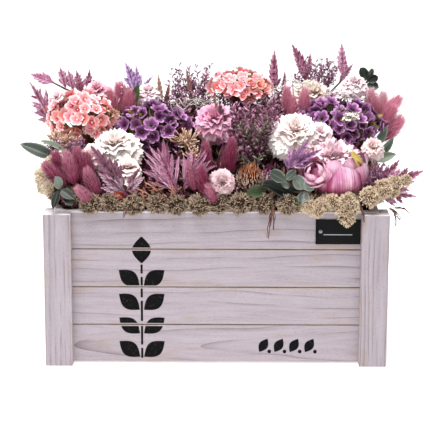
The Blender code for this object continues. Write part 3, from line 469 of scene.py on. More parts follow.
def canopy(x, y):
    """The height that heads reach over a place: low at the front and the back, high between."""
    depths, heights = (-110, -80, -40, 0, 35, 60, 85, 105), (203, 224, 247, 264, 290, 286, 246, 212)
    return np.interp(y, depths, heights) - 22 * np.clip((np.abs(x) - 150) / 60, 0, 1)


def blade_finish(name, dark, pale):
    """A dry leaf: dark at its foot, paler to the tip and along the rib, each leaf its own tone."""
    finish = Finish(name, roughness=0.7, specular_ior_level=0.25)
    across, along, chance = finish.grown()
    speckle = finish.place().cloud(260.0, 3.0)
    tone = along * 0.45 + chance * 0.6 + (speckle - 0.5) * 0.5 - abs(across) * 0.1
    colour = tone.between(0.1, 1.0).blend(dark, pale)
    return finish.feed(colour, height=speckle, relief=0.4, distance=0.0006)


foam_finish = Finish("floral_foam", roughness=0.95, specular_ior_level=0.1)
grain = foam_finish.place().cloud(450.0, 4.0)
green = grain.between(0.35, 0.7).blend((30, 30, 22), (66, 64, 44))
dress("foam", foam_finish.feed(green, height=grain, relief=0.8))

thicket_rng = np.random.default_rng(3)
# The dark and plum leaves are coloured as painted shade in the depths between the heads. The bristles
# keep their own straw colour.
for name, slot, count, widths, lengths, dark, pale, extra in (
    ("dark_filler_leaves_as_shade", "heather_mauve", 2200, (5, 10), (16, 34), (20, 8, 10), (84, 50, 54), 0),
    ("plum_filler_leaves_as_shade", "leaf_mauve", 1500, (4, 8), (20, 40), (44, 8, 24), (142, 74, 106), 0.1),
    ("dry_filler_bristles", "heather_mauve", 1700, (1.4, 2.4), (22, 42),
     (60, 30, 24), (186, 142, 118), 0.1),
):
    x, y = thicket_rng.uniform(-176, 176, count), thicket_rng.uniform(-96, 96, count)
    foot = points_at(x, y, foam_top(x, y) - 2)
    lean = points_at(x * 0.006, y * 0.007, 1.0) + thicket_rng.normal(0, 0.55, (count, 3))
    lean[:, 2] = np.abs(lean[:, 2]) + 0.35
    room = canopy(x, y) - foot[:, 2]
    length = np.minimum(thicket_rng.uniform(*lengths, count), np.maximum(room * 0.8, 12))
    foot[:, 2] += np.maximum(room * thicket_rng.uniform(0, 0.7, count) - length * 0.4, 0)
    shape = leaf_shape(4, 3, 0.18, 0.35)
    sizes = points_at(thicket_rng.uniform(*widths, count), length, length)
    grids = placed(shape, headings(lean, thicket_rng.uniform(*ANY_TURN, count)), foot, sizes)
    over_rim = (np.abs(grids[..., 0]) > 178) | (np.abs(grids[..., 1]) > 98)
    grids = grids[~(over_rim & (grids[..., 2] < 187)).any(axis=(1, 2))]
    thicket = Piece()
    thicket.add(grids, leaf_values(shape, thicket_rng.uniform(0, 1, len(grids)) + extra))
    thicket.make(name, [blade_finish(name, dark, pale)], slot)

# The carnations are cut blooms on wired stems. Each is a dome of fan-shaped petals in layers,
# crimped lengthwise, with edges cut in teeth, and the middle petals stand crumpled upright.

CARNATION_LAYERS = (
    (104, 9), (88, 10), (72, 10), (57, 9), (43, 8), (30, 7), (18, 5), (8, 3), (2, 1),
)


def bowed(starts, ends, bows, steps):
    """Paths from starts to ends that swing out by the bows: a straight line plus a parabola."""
    t = np.linspace(0, 1, steps)[:, None]
    as_rows = (np.atleast_2d(np.asarray(rows, float))[:, None] for rows in (starts, ends, bows))
    starts, ends, bows = as_rows
    return starts + (ends - starts) * t + bows * 4 * t * (1 - t)


def tube(paths, radii, sides):
    """Round stems: rings of the radii about the paths, drawn to a point at both ends.

    The rings stand across the path's own direction, turned from the axis that the path bends
    about, or from level where it is straight."""
    paths = np.asarray(paths, float)
    paths = paths[None] if paths.ndim == 2 else paths
    widths = np.pad(np.broadcast_to(radii, paths.shape[:2]), ((0, 0), (1, 1)))
    direction = unit(np.gradient(paths, axis=1))
    level = headings(paths[:, -1] - paths[:, 0])[:, 0]
    bend = np.cross(direction[:, :-1], direction[:, 1:]).sum(axis=1) + 0.02 * level
    across = unit(np.cross(direction, unit(bend)[:, None, :]))
    rings = [0, *range(paths.shape[1]), -1]
    up = np.cross(direction, across)
    points, across, up = (rows[:, rings][:, :, None] for rows in (paths, across, up))
    turn = (2 * math.pi * np.arange(sides) / sides)[:, None]
    return points + widths[:, :, None, None] * (np.cos(turn) * across + np.sin(turn) * up)


def add_stem(
    piece, start, end, girths, sides,
    finish=1, tone=0.5, chance=0.5, bow=(0, 0, 0), steps=4, depth=20,
):
    """Round stems from start to end, with a girth that runs evenly from the first to the second.

    A start of two numbers is a place on the foam, and the stem stands so deep under its top."""
    if np.size(start) == 2:
        start = (*start, float(foam_top(*start)) - depth)
    radii = np.linspace(*np.broadcast_to(girths, 2), steps)
    grids = tube(bowed(start, end, bow, steps), radii, sides)
    piece.add(grids, (0, tone, chance), finish, wrap=True)


def petal_finish(name, throat_and_shade, body, rim, shift=0.0):
    """A petal: throat colour at its foot, rim colour at its edge, with fine lengthwise veins.
    The throat colour is partly the petal's own and partly painted shade down among the petals.
    """
    finish = Finish(name, roughness=0.62, specular_ior_level=0.25, sheen_weight=0.15)
    across, along, chance = finish.grown()
    veins = (across * 23.0).math("SINE")
    mottle = finish.place().cloud(140.0, 3.0)
    depth = along + (mottle - 0.5) * 0.35 - (veins * 0.5 + 0.5) * 0.12
    depth = depth + (chance - 0.5) * 0.3 + shift
    colour = depth.between(0.05, 0.62).blend(throat_and_shade, body)
    colour = depth.between(0.62, 1.02).blend(colour, rim)
    return finish.feed(colour, height=veins, relief=0.25, distance=0.0005)


def on_sphere(polar, around):
    """Points on a ball of radius 1, from their angle off +z and their turn about it."""
    return points_at(np.sin(polar) * np.cos(around), np.sin(polar) * np.sin(around), np.cos(polar))


def fans(layers, rng, rows=8, columns=13, wave=0.11, tooth=0.05, curl=0.6):
    """Fan-shaped petals of a dome of radius 1 that faces +z, as grids on a sphere.

    Along a petal the reach grows from 0.12 to 1 and the angle from the axis grows to the
    layer's own. Across it the turn widens with the reach. Sine waves crimp it, stronger towards
    the edge, and every other point of the edge is drawn in as a tooth."""
    u, v = spans(rows, columns)
    grids, chances = [], []
    for angle, count in layers:
        tip = np.radians(angle) * (1 + rng.normal(0, 0.07, (count, 1, 1)))
        places = np.arange(count)[:, None, None] + rng.uniform(-0.25, 0.25, (count, 1, 1))
        turn = 2 * math.pi * places / count + rng.uniform(*ANY_TURN)
        wide = np.minimum(0.62 / np.sin(np.clip(tip, 0.35, 1.57)), 1.5)
        phase = rng.uniform(*ANY_TURN, (2, count, 1, 1))
        beat = rng.uniform(2.4, 4.2, (count, 1, 1))
        waves = np.sin(v * beat * 2 + phase[0]) + 0.4 * np.sin(v * beat * 4.3 + phase[1])
        crimp = wave * u**1.5 * waves
        reach = 0.12 + 0.88 * u**0.85 - 0.16 * u**2 * v**2
        reach = reach * (1 + rng.normal(0, 0.035, (count, 1, 1)))
        teeth = tooth * u**6 * np.where(np.arange(columns) % 2 == 0, -1.0, 0.6)
        reach = reach + teeth + 0.4 * wave * u**3 * np.sin(v * beat * 3 + phase[1])
        flare = curl * np.sin(tip) * np.maximum(u - 0.45, 0) ** 1.5
        polar = tip * (0.45 + 0.55 * u**1.1) + crimp * (0.8 + 0.2 * np.sin(tip)) + flare
        around = turn + wide * v * (0.25 + 0.75 * u**0.7) + 0.25 * crimp
        grids.append(reach[..., None] * on_sphere(polar, around))
        chances.append(rng.uniform(0, 1, count))
    return np.concatenate(grids), np.concatenate(chances)


def add_bloom(piece, layers, rng, centre, facing, radius, finish=0, **form):
    """A bloom of fan-shaped petals about its centre, which looks the way it faces."""
    grids, chances = fans(layers, rng, **form)
    piece.add(placed(grids, headings(facing), centre, radius), leaf_values(grids, chances), finish)


# The throat tints are partly painted shade: pink-mauve for the shade deep in each bloom.
CARNATION_FINISHES = {
    colour: petal_finish(f"carnation_{colour}", *tones)
    for colour, *tones in (
        ("white", (238, 184, 186), (254, 238, 234), (255, 253, 248), -0.08),
        ("pink", (168, 66, 104), (222, 142, 176), (240, 188, 210)),
        ("pale", (226, 150, 168), (250, 222, 228), (255, 244, 246)),
        ("cream", (228, 166, 152), (253, 232, 218), (255, 248, 240)),
        ("blush", (160, 98, 104), (210, 170, 174), (236, 208, 212)),
        ("rose", (176, 88, 112), (226, 160, 180), (250, 214, 224)),
    )
}
stem_green = blade_finish("cut_stem", (58, 66, 36), (120, 122, 76))
CARNATIONS = (
    ("white_left", (-118, -54, 239), 31, (-0.1, -0.40, 0.91), (-114, -44), "white"),
    ("white_right", (91, -48, 258), 31, (0, -0.60, 0.80), (90, -38), "white"),
    ("pink_mid", (-1, -14, 268), 26, (-0.1, -0.60, 0.80), (-2, -8), "pink"),
    ("cream_back_right", (116, 40, 284), 29, (0, -0.35, 0.93), (120, 44), "cream"),
    ("white_rear", (-56, 84, 236), 28, (-0.1, 0.60, 0.80), (-56, 74), "white"),
    ("pink_rear", (64, 86, 238), 27, (0.1, 0.60, 0.80), (64, 76), "pink"),
    ("small", (5.8, -100, 216.5), 16, (0.1, -0.95, 0.25), (6, -78), "blush"),
    ("blush_back_left", (-83, 36, 294), 16.5, (0, -0.45, 0.9), (-84, 40), "pale"),
    ("pink_back_right", (168, 38, 305), 16.5, (0, -0.45, 0.9), (160, 44), "pale"),
)
for seed, (word, centre, radius, facing, foot, colour) in enumerate(CARNATIONS):
    rng = np.random.default_rng(100 + seed)
    wave = 0.085 if colour in ("white", "cream") else 0.11
    form = {"columns": 17 if radius > 20 else 11, "wave": wave}
    bloom = Piece()
    add_bloom(bloom, CARNATION_LAYERS, rng, centre, facing, radius, **form)
    add_stem(bloom, foot, centre, 2.0, 8, steps=5)
    calyx = np.array(centre) - 0.42 * radius * unit(np.array(facing))
    add_stem(bloom, calyx, centre, (0.10 * radius, 0.2 * radius), 8, chance=0.8, steps=5)
    finishes = [CARNATION_FINISHES[colour], stem_green]
    slot = f"petal_{colour}" if radius > 20 else "petal_blush"
    bloom.make(f"carnation_head_{word}", finishes, slot, f"carnation_{word}")

# The peony is one big soft bloom. Broad silky petals wrap a bowl, mauve with magenta rims, a few
# inner ones stand pale and frilled, and one shows an ochre underside.

PEONY_AT, PEONY_FACING, PEONY_RADIUS = np.array((141.0, -76.0, 226.0)), (-0.05, -0.34, 0.94), 35.0


def bowl_petals(petals, rng, rows=12, columns=15):
    """Broad petals of a bowl of radius 1: each climbs the sphere from the foot to its tip angle,
    with a half circle for its edge, a lip that curls out, and slow waves along the rim.

    A petal is its tip angle, turn and half width in degrees, its reach and its curl."""
    u, v = spans(rows, columns)
    tips, turns, wides, reaches, curls = np.array(petals).T[..., None, None]
    count = len(tips)
    edge = u * (1 - 0.22 * np.abs(v) ** 2.4)
    phase = rng.uniform(*ANY_TURN, (count, 1, 1))
    ripple = np.sin(v * 5.0 + phase) + 0.5 * np.sin(v * 11.0 + 2 * phase)
    polar = np.radians(168 - (168 - tips) * edge) + 0.024 * ripple * u**3
    lip = curls * np.maximum(u - 0.72, 0) ** 1.5
    reach = reaches * (0.72 + 0.28 * np.sin(np.minimum(u * 1.7, 1.57))) + lip + 0.04 * ripple * u**4
    reach = reach * (1 - 0.05 * v**2)
    spread = np.sin(math.pi / 2 * np.minimum(0.25 + u * 1.1, 1.0))
    around = np.radians(turns) + np.radians(wides) * v * spread
    return reach[..., None] * on_sphere(polar, around)


def peony_finish(name, inner, middle, rim, rim_from):
    """Silky petal: pale inside, streaked with long veins, and a saturated rim at its edge."""
    finish = Finish(name, roughness=0.45, specular_ior_level=0.35, sheen_weight=0.2)
    across, along, chance = finish.grown()
    streaks = (across * 9.0).with_others(along * 1.2, chance * 7.0).cloud(1.6, 4.0)
    mottle = finish.place().cloud(60.0, 3.0)
    edge = along * 0.9 + (abs(across) ** 4.0) * 0.6 + (streaks - 0.5) * 0.35
    foot = (0.89 - along + (streaks - 0.5) * 0.6 + (chance - 0.5) * 0.1).between(0.0, 0.36)
    tone = (streaks - 0.5) * 0.5 + mottle + abs(across) * 0.2
    colour = tone.between(0.4, 0.8).blend(inner, middle)
    colour = (foot * 0.8).blend(colour, rim)
    colour = edge.between(rim_from, rim_from + 0.3).blend(colour, rim)
    return finish.feed(colour, height=streaks, relief=0.3, distance=0.0008)


peony_rng = np.random.default_rng(7)
peony = Piece()
outer = (
    (55, 66, 36, 1.13, 0.2), (53, 110, 33, 1.18, 0.2), (54, 28, 36, 1.06, 0.3),
    (58, 148, 34, 1.12, 0.3), (56, 352, 40, 1.03, 0.5), (58, 190, 36, 1.06, 0.4),
    (58, 236, 44, 1.00, 0.5), (56, 278, 44, 1.00, 0.5), (58, 318, 44, 1.00, 0.5),
    (128, 76, 44, 1.10, 0.5), (128, 128, 42, 1.12, 0.5), (88, 0, 46, 1.07, 0.4),
    (90, 170, 46, 1.10, 0.4), (38, 88, 36, 1.02, 0.3), (38, 130, 32, 1.0, 0.3),
    (74, 14, 40, 1.06, 0.4),
)
rosette = (
    (80, 200, 60, 1.0, 0.4), (78, 280, 60, 1.0, 0.4), (80, 0, 60, 1.0, 0.4), (78, 90, 60, 1.0, 0.4),
    (54, 240, 60, 0.88, 0.4), (52, 330, 60, 0.88, 0.4), (54, 60, 60, 0.88, 0.4),
    (52, 150, 60, 0.88, 0.4), (32, 200, 70, 0.72, 0.4), (30, 320, 70, 0.72, 0.4),
    (28, 80, 70, 0.72, 0.4), (12, 0, 90, 0.6, 0.3),
)
ochre = ((30, 156, 19, 1.04, 0.1),)
rosette_at = PEONY_AT + (-28.0, -30.0, 4.0)
for petals, finish, at, facing, size in (
    (outer, 0, PEONY_AT, PEONY_FACING, PEONY_RADIUS),
    (rosette, 4, rosette_at, (-0.3, -0.72, 0.55), 17.5),
    (ochre, 2, PEONY_AT, PEONY_FACING, PEONY_RADIUS),
):
    grids = bowl_petals(petals, peony_rng)
    values = leaf_values(grids, peony_rng.uniform(0, 1, len(grids)))
    peony.add(placed(grids, headings(facing), at, size), values, finish)
frills = ((64, 10), (53, 10), (43, 9), (33, 8), (23, 6), (13, 4), (4, 2))
form = {"columns": 15, "wave": 0.14, "tooth": 0.07, "curl": 0.3}
frills_at, frills_radius = PEONY_AT + (-4, 4, 0), PEONY_RADIUS * 1.04
add_bloom(peony, frills, peony_rng, frills_at, (-0.1, -0.26, 0.96), frills_radius, 1, **form)
add_stem(peony, (138, -60, 176), PEONY_AT, 2.6, 8, 3, steps=5)
peony_finishes = [
    peony_finish("peony_outer", (236, 190, 212), (202, 124, 166), (154, 24, 90), 0.82),
    petal_finish("peony_inner", (222, 140, 168), (246, 204, 216), (255, 236, 242)),
    peony_finish("peony_ochre", (206, 184, 92), (160, 128, 60), (206, 120, 130), 0.92),
    stem_green,
    peony_finish("peony_rosette", (250, 216, 228), (230, 174, 200), (196, 84, 140), 0.80),
]
peony.make("peony_head", peony_finishes, "peony_pink", "peony")

# The four domes are heads of small five-petalled florets, thin and slightly cupped. The coral ones
# have pale eyes and the purple ones dark eyes, and each sits on its own stalk from one fork.

DOMES = (
    ("pink_left", (-162, -8, 274), (41, 29, 28), (-0.1, -0.45, 0.90), 108, (-150, 0), 70, 8.0),
    ("pink_back", (28, 38, 305), (36, 27, 17), (0, -0.15, 1.0), 100, (28, 44), 72, 7.0),
    ("purple_left", (-79, -4, 260), (47, 30, 28), (0, -0.50, 0.86), 112, (-76, 6), 80, 8.4),
    ("purple_right", (146, -2, 267), (51, 30, 25), (0, -0.50, 0.86), 112, (142, 6), 80, 8.2),
)
TUCKED = 40


def floret_petal(cup):
    """One rounded petal of length 1 along x at height z. Its half width runs through five set
    values, round at the end, and it rises as the square of the reach."""
    u, v = spans(5, 5)
    half = np.array((0.07, 0.24, 0.38, 0.44, 0.33))[:, None]
    x = (0.06 + 0.94 * u) * (1 - 0.11 * v * v * u)
    return points_at(x, half * v, cup * x * x + 0.10 * v * v * u)


def add_florets(piece, petal, axes, spots, sizes, chances, tuck=0.0):
    """Florets of five petals, of which every other one is lifted by the tuck."""
    for k, chance in enumerate(np.broadcast_to(chances, (5, len(axes)))):
        turn = 2 * math.pi * k / 5
        cos, sin = math.cos(turn), math.sin(turn)
        spin = np.array(((cos, sin, 0), (-sin, cos, 0), (0, 0, 1)))
        tucked = petal + (0, 0, tuck * (k % 2))
        piece.add(placed(tucked @ spin, axes, spots, sizes), leaf_values(petal, chance))


def floret_finish(name, eye, body, rim, back):
    """A floret: an eye at the middle, then the body colour, a rim of another tone, and the back
    tone, a painted shade colour that the floret's chance blends in.
    """
    finish = Finish(name, roughness=0.5, specular_ior_level=0.3, sheen_weight=0.1)
    across, along, chance = finish.grown()
    mottle = finish.place().cloud(300.0)
    reach = along + (mottle - 0.5) * 0.25
    colour = reach.between(0.12, 0.42).blend(eye, body)
    colour = (reach + abs(across) * 0.35).between(0.62, 1.12).blend(colour, rim)
    # Painted shade: florets with a high chance take the back tone, the colour florets show in shade.
    colour = (chance.between(0.45, 1.05) * 0.75).blend(colour, back)
    return finish.feed(colour, height=mottle, relief=0.2, distance=0.0004)


DOME_FINISHES = {
    colour: [
        floret_finish(f"{colour}_florets", *petal_tones),
        blade_finish(f"{colour}_eyes", *eye_tones),
        blade_finish(f"{colour}_stalks", *stalk_tones),
    ]
    for colour, petal_tones, eye_tones, stalk_tones in (
        (
            "coral",
            ((208, 62, 78), (244, 146, 158), (255, 230, 230), (238, 128, 96)),
            ((250, 220, 140), (255, 246, 200)),
            ((104, 84, 30), (206, 122, 92)),
        ),
        (
            "purple",
            ((30, 2, 18), (116, 50, 108), (206, 156, 204), (92, 30, 74)),
            ((24, 6, 20), (84, 54, 60)),
            ((24, 22, 8), (168, 160, 58)),
        ),
    )
}


def lattice(count, spread):
    """Directions spread evenly over a cap about +z, on the golden spiral."""
    k = np.arange(count) + 0.5
    polar = np.arccos(1 - (1 - math.cos(math.radians(spread))) * k / count)
    return on_sphere(polar, math.pi * (3 - math.sqrt(5)) * k)


def ball(rows, sides):
    """A ball of radius 1, closed at its poles, rows from -z to +z."""
    polar = np.linspace(math.pi, 0, rows)[:, None]
    return on_sphere(polar, 2 * math.pi * np.arange(sides) / sides)


for seed, (word, centre, radii, facing, spread, foot, count, size) in enumerate(DOMES):
    rng = np.random.default_rng(200 + seed)
    colour = "coral" if "pink" in word else "purple"
    centre, radii, turned = np.array(centre, float), np.array(radii, float), headings(facing)[0]
    spots = unit(lattice(count, spread) + rng.normal(0, 0.075, (count, 3)))
    heads = centre + (spots * radii * (1 + rng.uniform(-0.14, 0.07, (count, 1)))) @ turned
    outward = unit(unit(spots / radii) @ turned + rng.normal(0, 0.32, (count, 3)))
    axes = headings(outward, rng.uniform(*ANY_TURN, count))
    sizes = size * rng.uniform(0.7, 1.3, (count, 1))
    # Painted shade: florets on the right of each dome, away from the lamps, lean to the back tone.
    shaded_side = 0.5 * np.clip(-spots[:, 0] * 0.5 - 0.1, 0, 1)
    chances = np.clip(rng.uniform(0, 0.8, count) + shaded_side, 0, 1)
    dome = Piece()
    add_florets(dome, floret_petal(0.36), axes, heads, sizes, chances, tuck=0.03)
    eyes = placed(ball(4, 6), axes, heads + outward, sizes * 0.15)
    dome.add(eyes, (0, 0.8, rng.uniform(0, 1, (count, 1, 1))), 1, wrap=True)
    fork = np.array((*foot, centre[2] - radii[2] * 1.5))
    forks = fork + rng.normal(0, 1.5, (count, 3))
    bows = -outward * 5 * (1, 1, 0.2)
    stalk_chances = rng.uniform(0, 1, (count, 1, 1))
    add_stem(dome, forks, heads - outward * 0.5, 0.8, 4, 2, chance=stalk_chances, bow=bows, steps=5)
    add_stem(dome, foot, fork, 2.2, 8, 2, 0.4, 0.4)
    leaf, leaf_chances = leaf_shape(4, 3, 0.2, 0.3), rng.uniform(0, 1, TUCKED)
    tucked = unit(lattice(TUCKED, spread + 10) + rng.normal(0, 0.08, (TUCKED, 3)))
    tucked_at = centre + (tucked * radii * rng.uniform(0.78, 0.98, (TUCKED, 1))) @ turned
    tucked_out = unit(tucked @ turned + rng.normal(0, 0.5, (TUCKED, 3)))
    axes = headings(tucked_out, rng.uniform(*ANY_TURN, TUCKED))
    dome.add(placed(leaf, axes, tucked_at, (4.5, 10, 10)), leaf_values(leaf, leaf_chances), 2)
    dome.make(f"floret_dome_{word}", DOME_FINISHES[colour], f"floret_{colour}", f"cluster_{word}")

# The pale pincushion and the rust banksia are round heads on wired stems. The first is all
# fringed petals under fine hairs, the second a cone of stiff curved bristles over a cream base.


def add_hairs(piece, roots, directions, bends, lengths, width, chances, finish):
    """Fine tapering hairs: two points wide at the root, one at the tip, bent once on the way.

    The middle lies half the length along the direction, and the tip lies on past it along the
    direction plus the bend."""
    directions, lengths = unit(directions), lengths[:, None]
    side = unit(np.cross(directions, bends + (0.013, 0.017, 0.011))) * width / 2
    middle = roots + directions * lengths * 0.55
    tips = middle + unit(directions + bends) * lengths * 0.45
    widths = ((roots, 1), (middle, 0.7), (tips, 0.08))
    rows = [np.stack([at - side * share, at + side * share], axis=1) for at, share in widths]
    along = np.array((0.0, 0.55, 1.0))[:, None]
    piece.add(np.stack(rows, axis=1), (0, along, chances[:, None, None]), finish)


def hair_finish(name, root, middle, tip):
    """Hairs that pale evenly from root to tip, each a little darker or paler than the next."""
    finish = Finish(name, roughness=0.75, specular_ior_level=0.15, sheen_weight=0.25)
    _, along, chance = finish.grown()
    tone = along * 0.6 + chance * 0.6 - 0.1 + (finish.place().cloud(120.0) - 0.5) * 0.2
    colour = tone.between(0.0, 0.5).blend(root, middle)
    return finish.feed(tone.between(0.5, 1.0).blend(colour, tip), along * -0.1 + 0.8)


scabiosa_rng = np.random.default_rng(31)
scabiosa_at, scabiosa_facing = np.array((184.7, -50.0, 246.0)), (0, -0.6, 0.8)
scabiosa = Piece()
fringe = ((120, 12), (95, 12), (70, 10), (45, 8), (20, 5))
form = {"rows": 6, "columns": 9, "wave": 0.16, "tooth": 0.10}
add_bloom(scabiosa, fringe, scabiosa_rng, scabiosa_at, scabiosa_facing, 14.0, **form)
count = 420
spots = lattice(count, 125) @ headings(scabiosa_facing)[0]
leans = spots + scabiosa_rng.normal(0, 0.3, (count, 3))
bends, lengths = scabiosa_rng.normal(0, 0.3, (count, 3)), scabiosa_rng.uniform(5, 7.5, count)
chances = scabiosa_rng.uniform(0, 1, count)
add_hairs(scabiosa, scabiosa_at + spots * 8, leans, bends, lengths, 0.7, chances, 1)
add_stem(scabiosa, (171, -46, 172), scabiosa_at, 1.4, 6, 2)
scabiosa_finishes = [
    petal_finish("scabiosa_petal", (214, 160, 150), (240, 208, 204), (254, 236, 234)),
    hair_finish("scabiosa_hair", (222, 176, 168), (244, 216, 210), (255, 240, 236)),
    stem_green,
]
scabiosa.make("scabiosa_head", scabiosa_finishes, "scabiosa_pale", "scabiosa")

banksia_rng = np.random.default_rng(32)
banksia_at, radii = np.array((38.5, -92.0, 219.0)), np.array((11.5, 10, 14))
turned = headings((0, -0.35, 0.95))[0]
banksia = Piece()
banksia.add(placed(ball(9, 12), turned[None], banksia_at, radii), (0, 0.2, 0.2), 0, wrap=True)
spots = lattice(count, 150)
outward, lift = unit(spots / radii) @ turned, turned[2]
leans = outward + lift * banksia_rng.uniform(0.1, 1.0, (count, 1))
leans = leans + banksia_rng.normal(0, 0.22, (count, 3))
bends, lengths = lift * 0.8 - outward * 0.9, banksia_rng.uniform(6, 10.5, count)
rusty = np.clip((spots[:, 2] + 0.4) / 1.2, 0, 1) * banksia_rng.uniform(0.6, 1.2, count)
add_hairs(banksia, banksia_at + (spots * radii) @ turned, leans, bends, lengths, 1.3, rusty, 1)
add_stem(banksia, (38, -82, 160), banksia_at, 2.0, 6, 2)
bristle = Finish("banksia_bristle", roughness=0.6, specular_ior_level=0.25)
_, along, chance = bristle.grown()
pale = along.between(0.1, 0.7).blend((132, 86, 66), (255, 230, 212))
rust = along.between(0.1, 0.9).blend((120, 60, 38), (232, 142, 88))
mottle = bristle.place().cloud(200.0)
bristle_finish = bristle.feed((chance + mottle * 0.4).between(0.5, 1.15).blend(pale, rust))
banksia_core = blade_finish("banksia_core", (58, 32, 24), (110, 70, 52))
banksia_finishes = [banksia_core, bristle_finish, stem_green]
banksia.make("banksia_head", banksia_finishes, "banksia_rust", "banksia")

# Bunny-tail grass, dyed rose. Each tail is a soft ovoid of fine hairs that lean to its tip, on a
# thin straw stalk, and the tails of one bunch are wired together low down.

TAILS = (
    ("left", (-152, -78), (-154, -86, 192), "deep", (
        ((-179, -100, 216), (-199, -102, 239), 7.0), ((-175, -88, 220), (-188, -84, 247), 7.5),
        ((-166, -97, 220), (-174, -94, 250), 7.5), ((-158, -92, 222), (-162, -90, 254), 7.5),
        ((-148, -92, 220), (-152, -84, 248), 7.0), ((-140, -104, 206), (-149, -106, 233), 7.0),
        ((-145, -112, 198), (-159, -117, 214), 6.0))),
    ("back_left", (-122, 40), (-120, 32, 250), "rose", (
        ((-126, 22, 272), (-132, 20, 303), 8.5), ((-116, 34, 276), (-119, 34, 309), 8.5),
        ((-108, 22, 272), (-105, 20, 302), 8.0))),
    ("centre", (-10, -76), (-9, -86, 192), "deep", (
        ((-13, -90, 233), (-13, -88, 261), 6.0), ((-24, -100, 212), (-34, -100, 242), 6.0),
        ((-12, -108, 206), (-18, -110, 238), 6.0), ((12, -82, 224), (18, -78, 264), 7.5),
        ((-2, -112, 198), (-10, -117, 217), 5.5))),
    ("middle_right", (96, 0), (96, -4, 262), "rose", (
        ((86, 2, 282), (84, 2, 311), 6.0), ((90, -2, 276), (92, 0, 299), 5.5),
        ((105, 0, 284), (106, 0, 309), 6.0))),
    ("right", (171, 26), (184, 24, 240), "pink", (
        ((192, 24, 272), (187, 22, 305), 7.5), ((200, 36, 268), (204, 38, 298), 7.5),
        ((203, 26, 272), (223, 30, 294), 7.5), ((203, 10, 250), (223, 6, 273), 8.5),
        ((201, 12, 262), (214, 4, 288), 7.5))),
)
TAIL_FINISHES = {
    shade: [
        hair_finish(f"tail_hair_{shade}", *tones[:3]),
        hair_finish(f"tail_shade_core_{shade}", *tones[3:]),
    ]
    for shade, *tones in (
        ("deep", (76, 4, 34), (160, 56, 96), (228, 158, 180),
         (66, 8, 32), (104, 22, 56), (130, 40, 74)),
        ("rose", (186, 88, 122), (230, 150, 176), (250, 202, 214),
         (170, 76, 108), (196, 104, 134), (214, 128, 152)),
        ("pink", (172, 64, 102), (230, 146, 172), (255, 230, 234),
         (148, 56, 88), (184, 92, 118), (206, 122, 144)),
    )
}
straw = blade_finish("straw_stalk", (110, 96, 56), (186, 170, 116))
HAIRS, TAIL_FOOT = 1500, 0.22
for seed, (word, foot, knot, shade, heads) in enumerate(TAILS):
    rng = np.random.default_rng(300 + seed)
    bunch = Piece()
    for base, tip, radius in heads:
        base, tip = np.array(base, float), np.array(tip, float)
        base = base - (tip - base) * TAIL_FOOT
        axes, length = headings(tip - base), np.linalg.norm(tip - base)
        sizes = (radius * 0.62, radius * 0.62, length * 0.46)
        # Painted shade: the core is a dark ball inside the hairs, partly the dense inner fluff and
        # partly the shade deep in it.
        core = placed(ball(8, 8), axes, (base + tip) / 2, sizes)
        bunch.add(core, (0, 0.5, 0.5), 1, wrap=True)
        t = rng.uniform(0.0, 1.0, (HAIRS, 1)) ** 0.9
        turn = rng.uniform(*ANY_TURN, (HAIRS, 1))
        radial = np.cos(turn) * axes[0, 0] + np.sin(turn) * axes[0, 1]
        girth = 0.66 * radius * np.sin(math.pi * np.clip(t * 0.94 + 0.03, 0, 1) ** 0.75) ** 0.8
        roots = base + (tip - base) * t * 0.92 + radial * girth
        leans = axes[0, 2] * rng.uniform(0.9, 1.6, (HAIRS, 1)) + radial * (0.92 - 0.4 * t)
        leans = leans + rng.normal(0, 0.14, (HAIRS, 3))
        lengths = radius * rng.uniform(1.1, 1.9, HAIRS) * (1.05 - 0.3 * t[:, 0])
        bends = axes[0, 2] * 0.6 + rng.normal(0, 0.15, (HAIRS, 3))
        tones = rng.uniform(-0.25, 0.35) + 0.55 * t[:, 0] + rng.uniform(0, 0.3, HAIRS)
        add_hairs(bunch, roots, leans, bends, lengths, 0.46, tones, 0)
        stalk_end = base + (tip - base) * 0.2
        add_stem(bunch, knot, stalk_end, 0.8, 5, 2, 0.6, rng.uniform(), bow=(0, 2, -2), steps=6)
    add_stem(bunch, foot, knot, 2.2, 7, 2, 0.3, 0.3)
    bunch.add(placed(ball(6, 8), headings((0, 0, 1)), knot, 5.0), (0, 0.2, 0.3), 2, wrap=True)
    nodes = [] if word == "middle_right" else [f"tails_{word}"]
    bunch.make(f"bunny_tails_{word}", [*TAIL_FINISHES[shade], straw], "tail_rose", *nodes)

# The toothed leaves are dried and dyed mauve, thin and a little folded along the rib. Each leaf
# has deep forward teeth and smaller lobes at its foot, and a wiry rib that joins the stem.


def toothed_shape(teeth, depth=0.5, sweep=0.9, bow=-0.10, fold=0.30):
    """A leaf of length 1 and width 1 with forward teeth: within each tooth the half width
    grows, its edge runs ahead of the rib, and then it drops back. The whole outline follows a
    sine, the blade bows as the square of its length, and its halves fold up."""
    within, swell, ahead = (0.0, 0.5, 0.92), (1 - depth, 1 - 0.35 * depth, 1.0), (0.0, 0.45, 1.0)
    u = np.append(((np.arange(teeth)[:, None] + within) / teeth).ravel(), 1.0)
    swell, ahead = np.append(np.tile(swell, teeth), 0.4), np.append(np.tile(ahead, teeth), 0.0)
    v = np.linspace(-1, 1, 5)
    half = (0.5 * np.sin(math.pi * (0.04 + 0.94 * u) ** 0.72) ** 0.9 * swell)[:, None]
    z = u[:, None] + sweep / teeth * ahead[:, None] * np.abs(v) * np.clip(3 - 3 * u, 0, 1)[:, None]
    return points_at(half * v, bow * z * z + fold * np.abs(v) * half, z)


def facing_axes(along, normals):
    """Axes across, up and along for leaves whose faces look to the normals."""
    along = unit(np.asarray(along, float))
    across = unit(np.cross(normals, along))
    return np.stack([across, np.cross(along, across), along], axis=1)


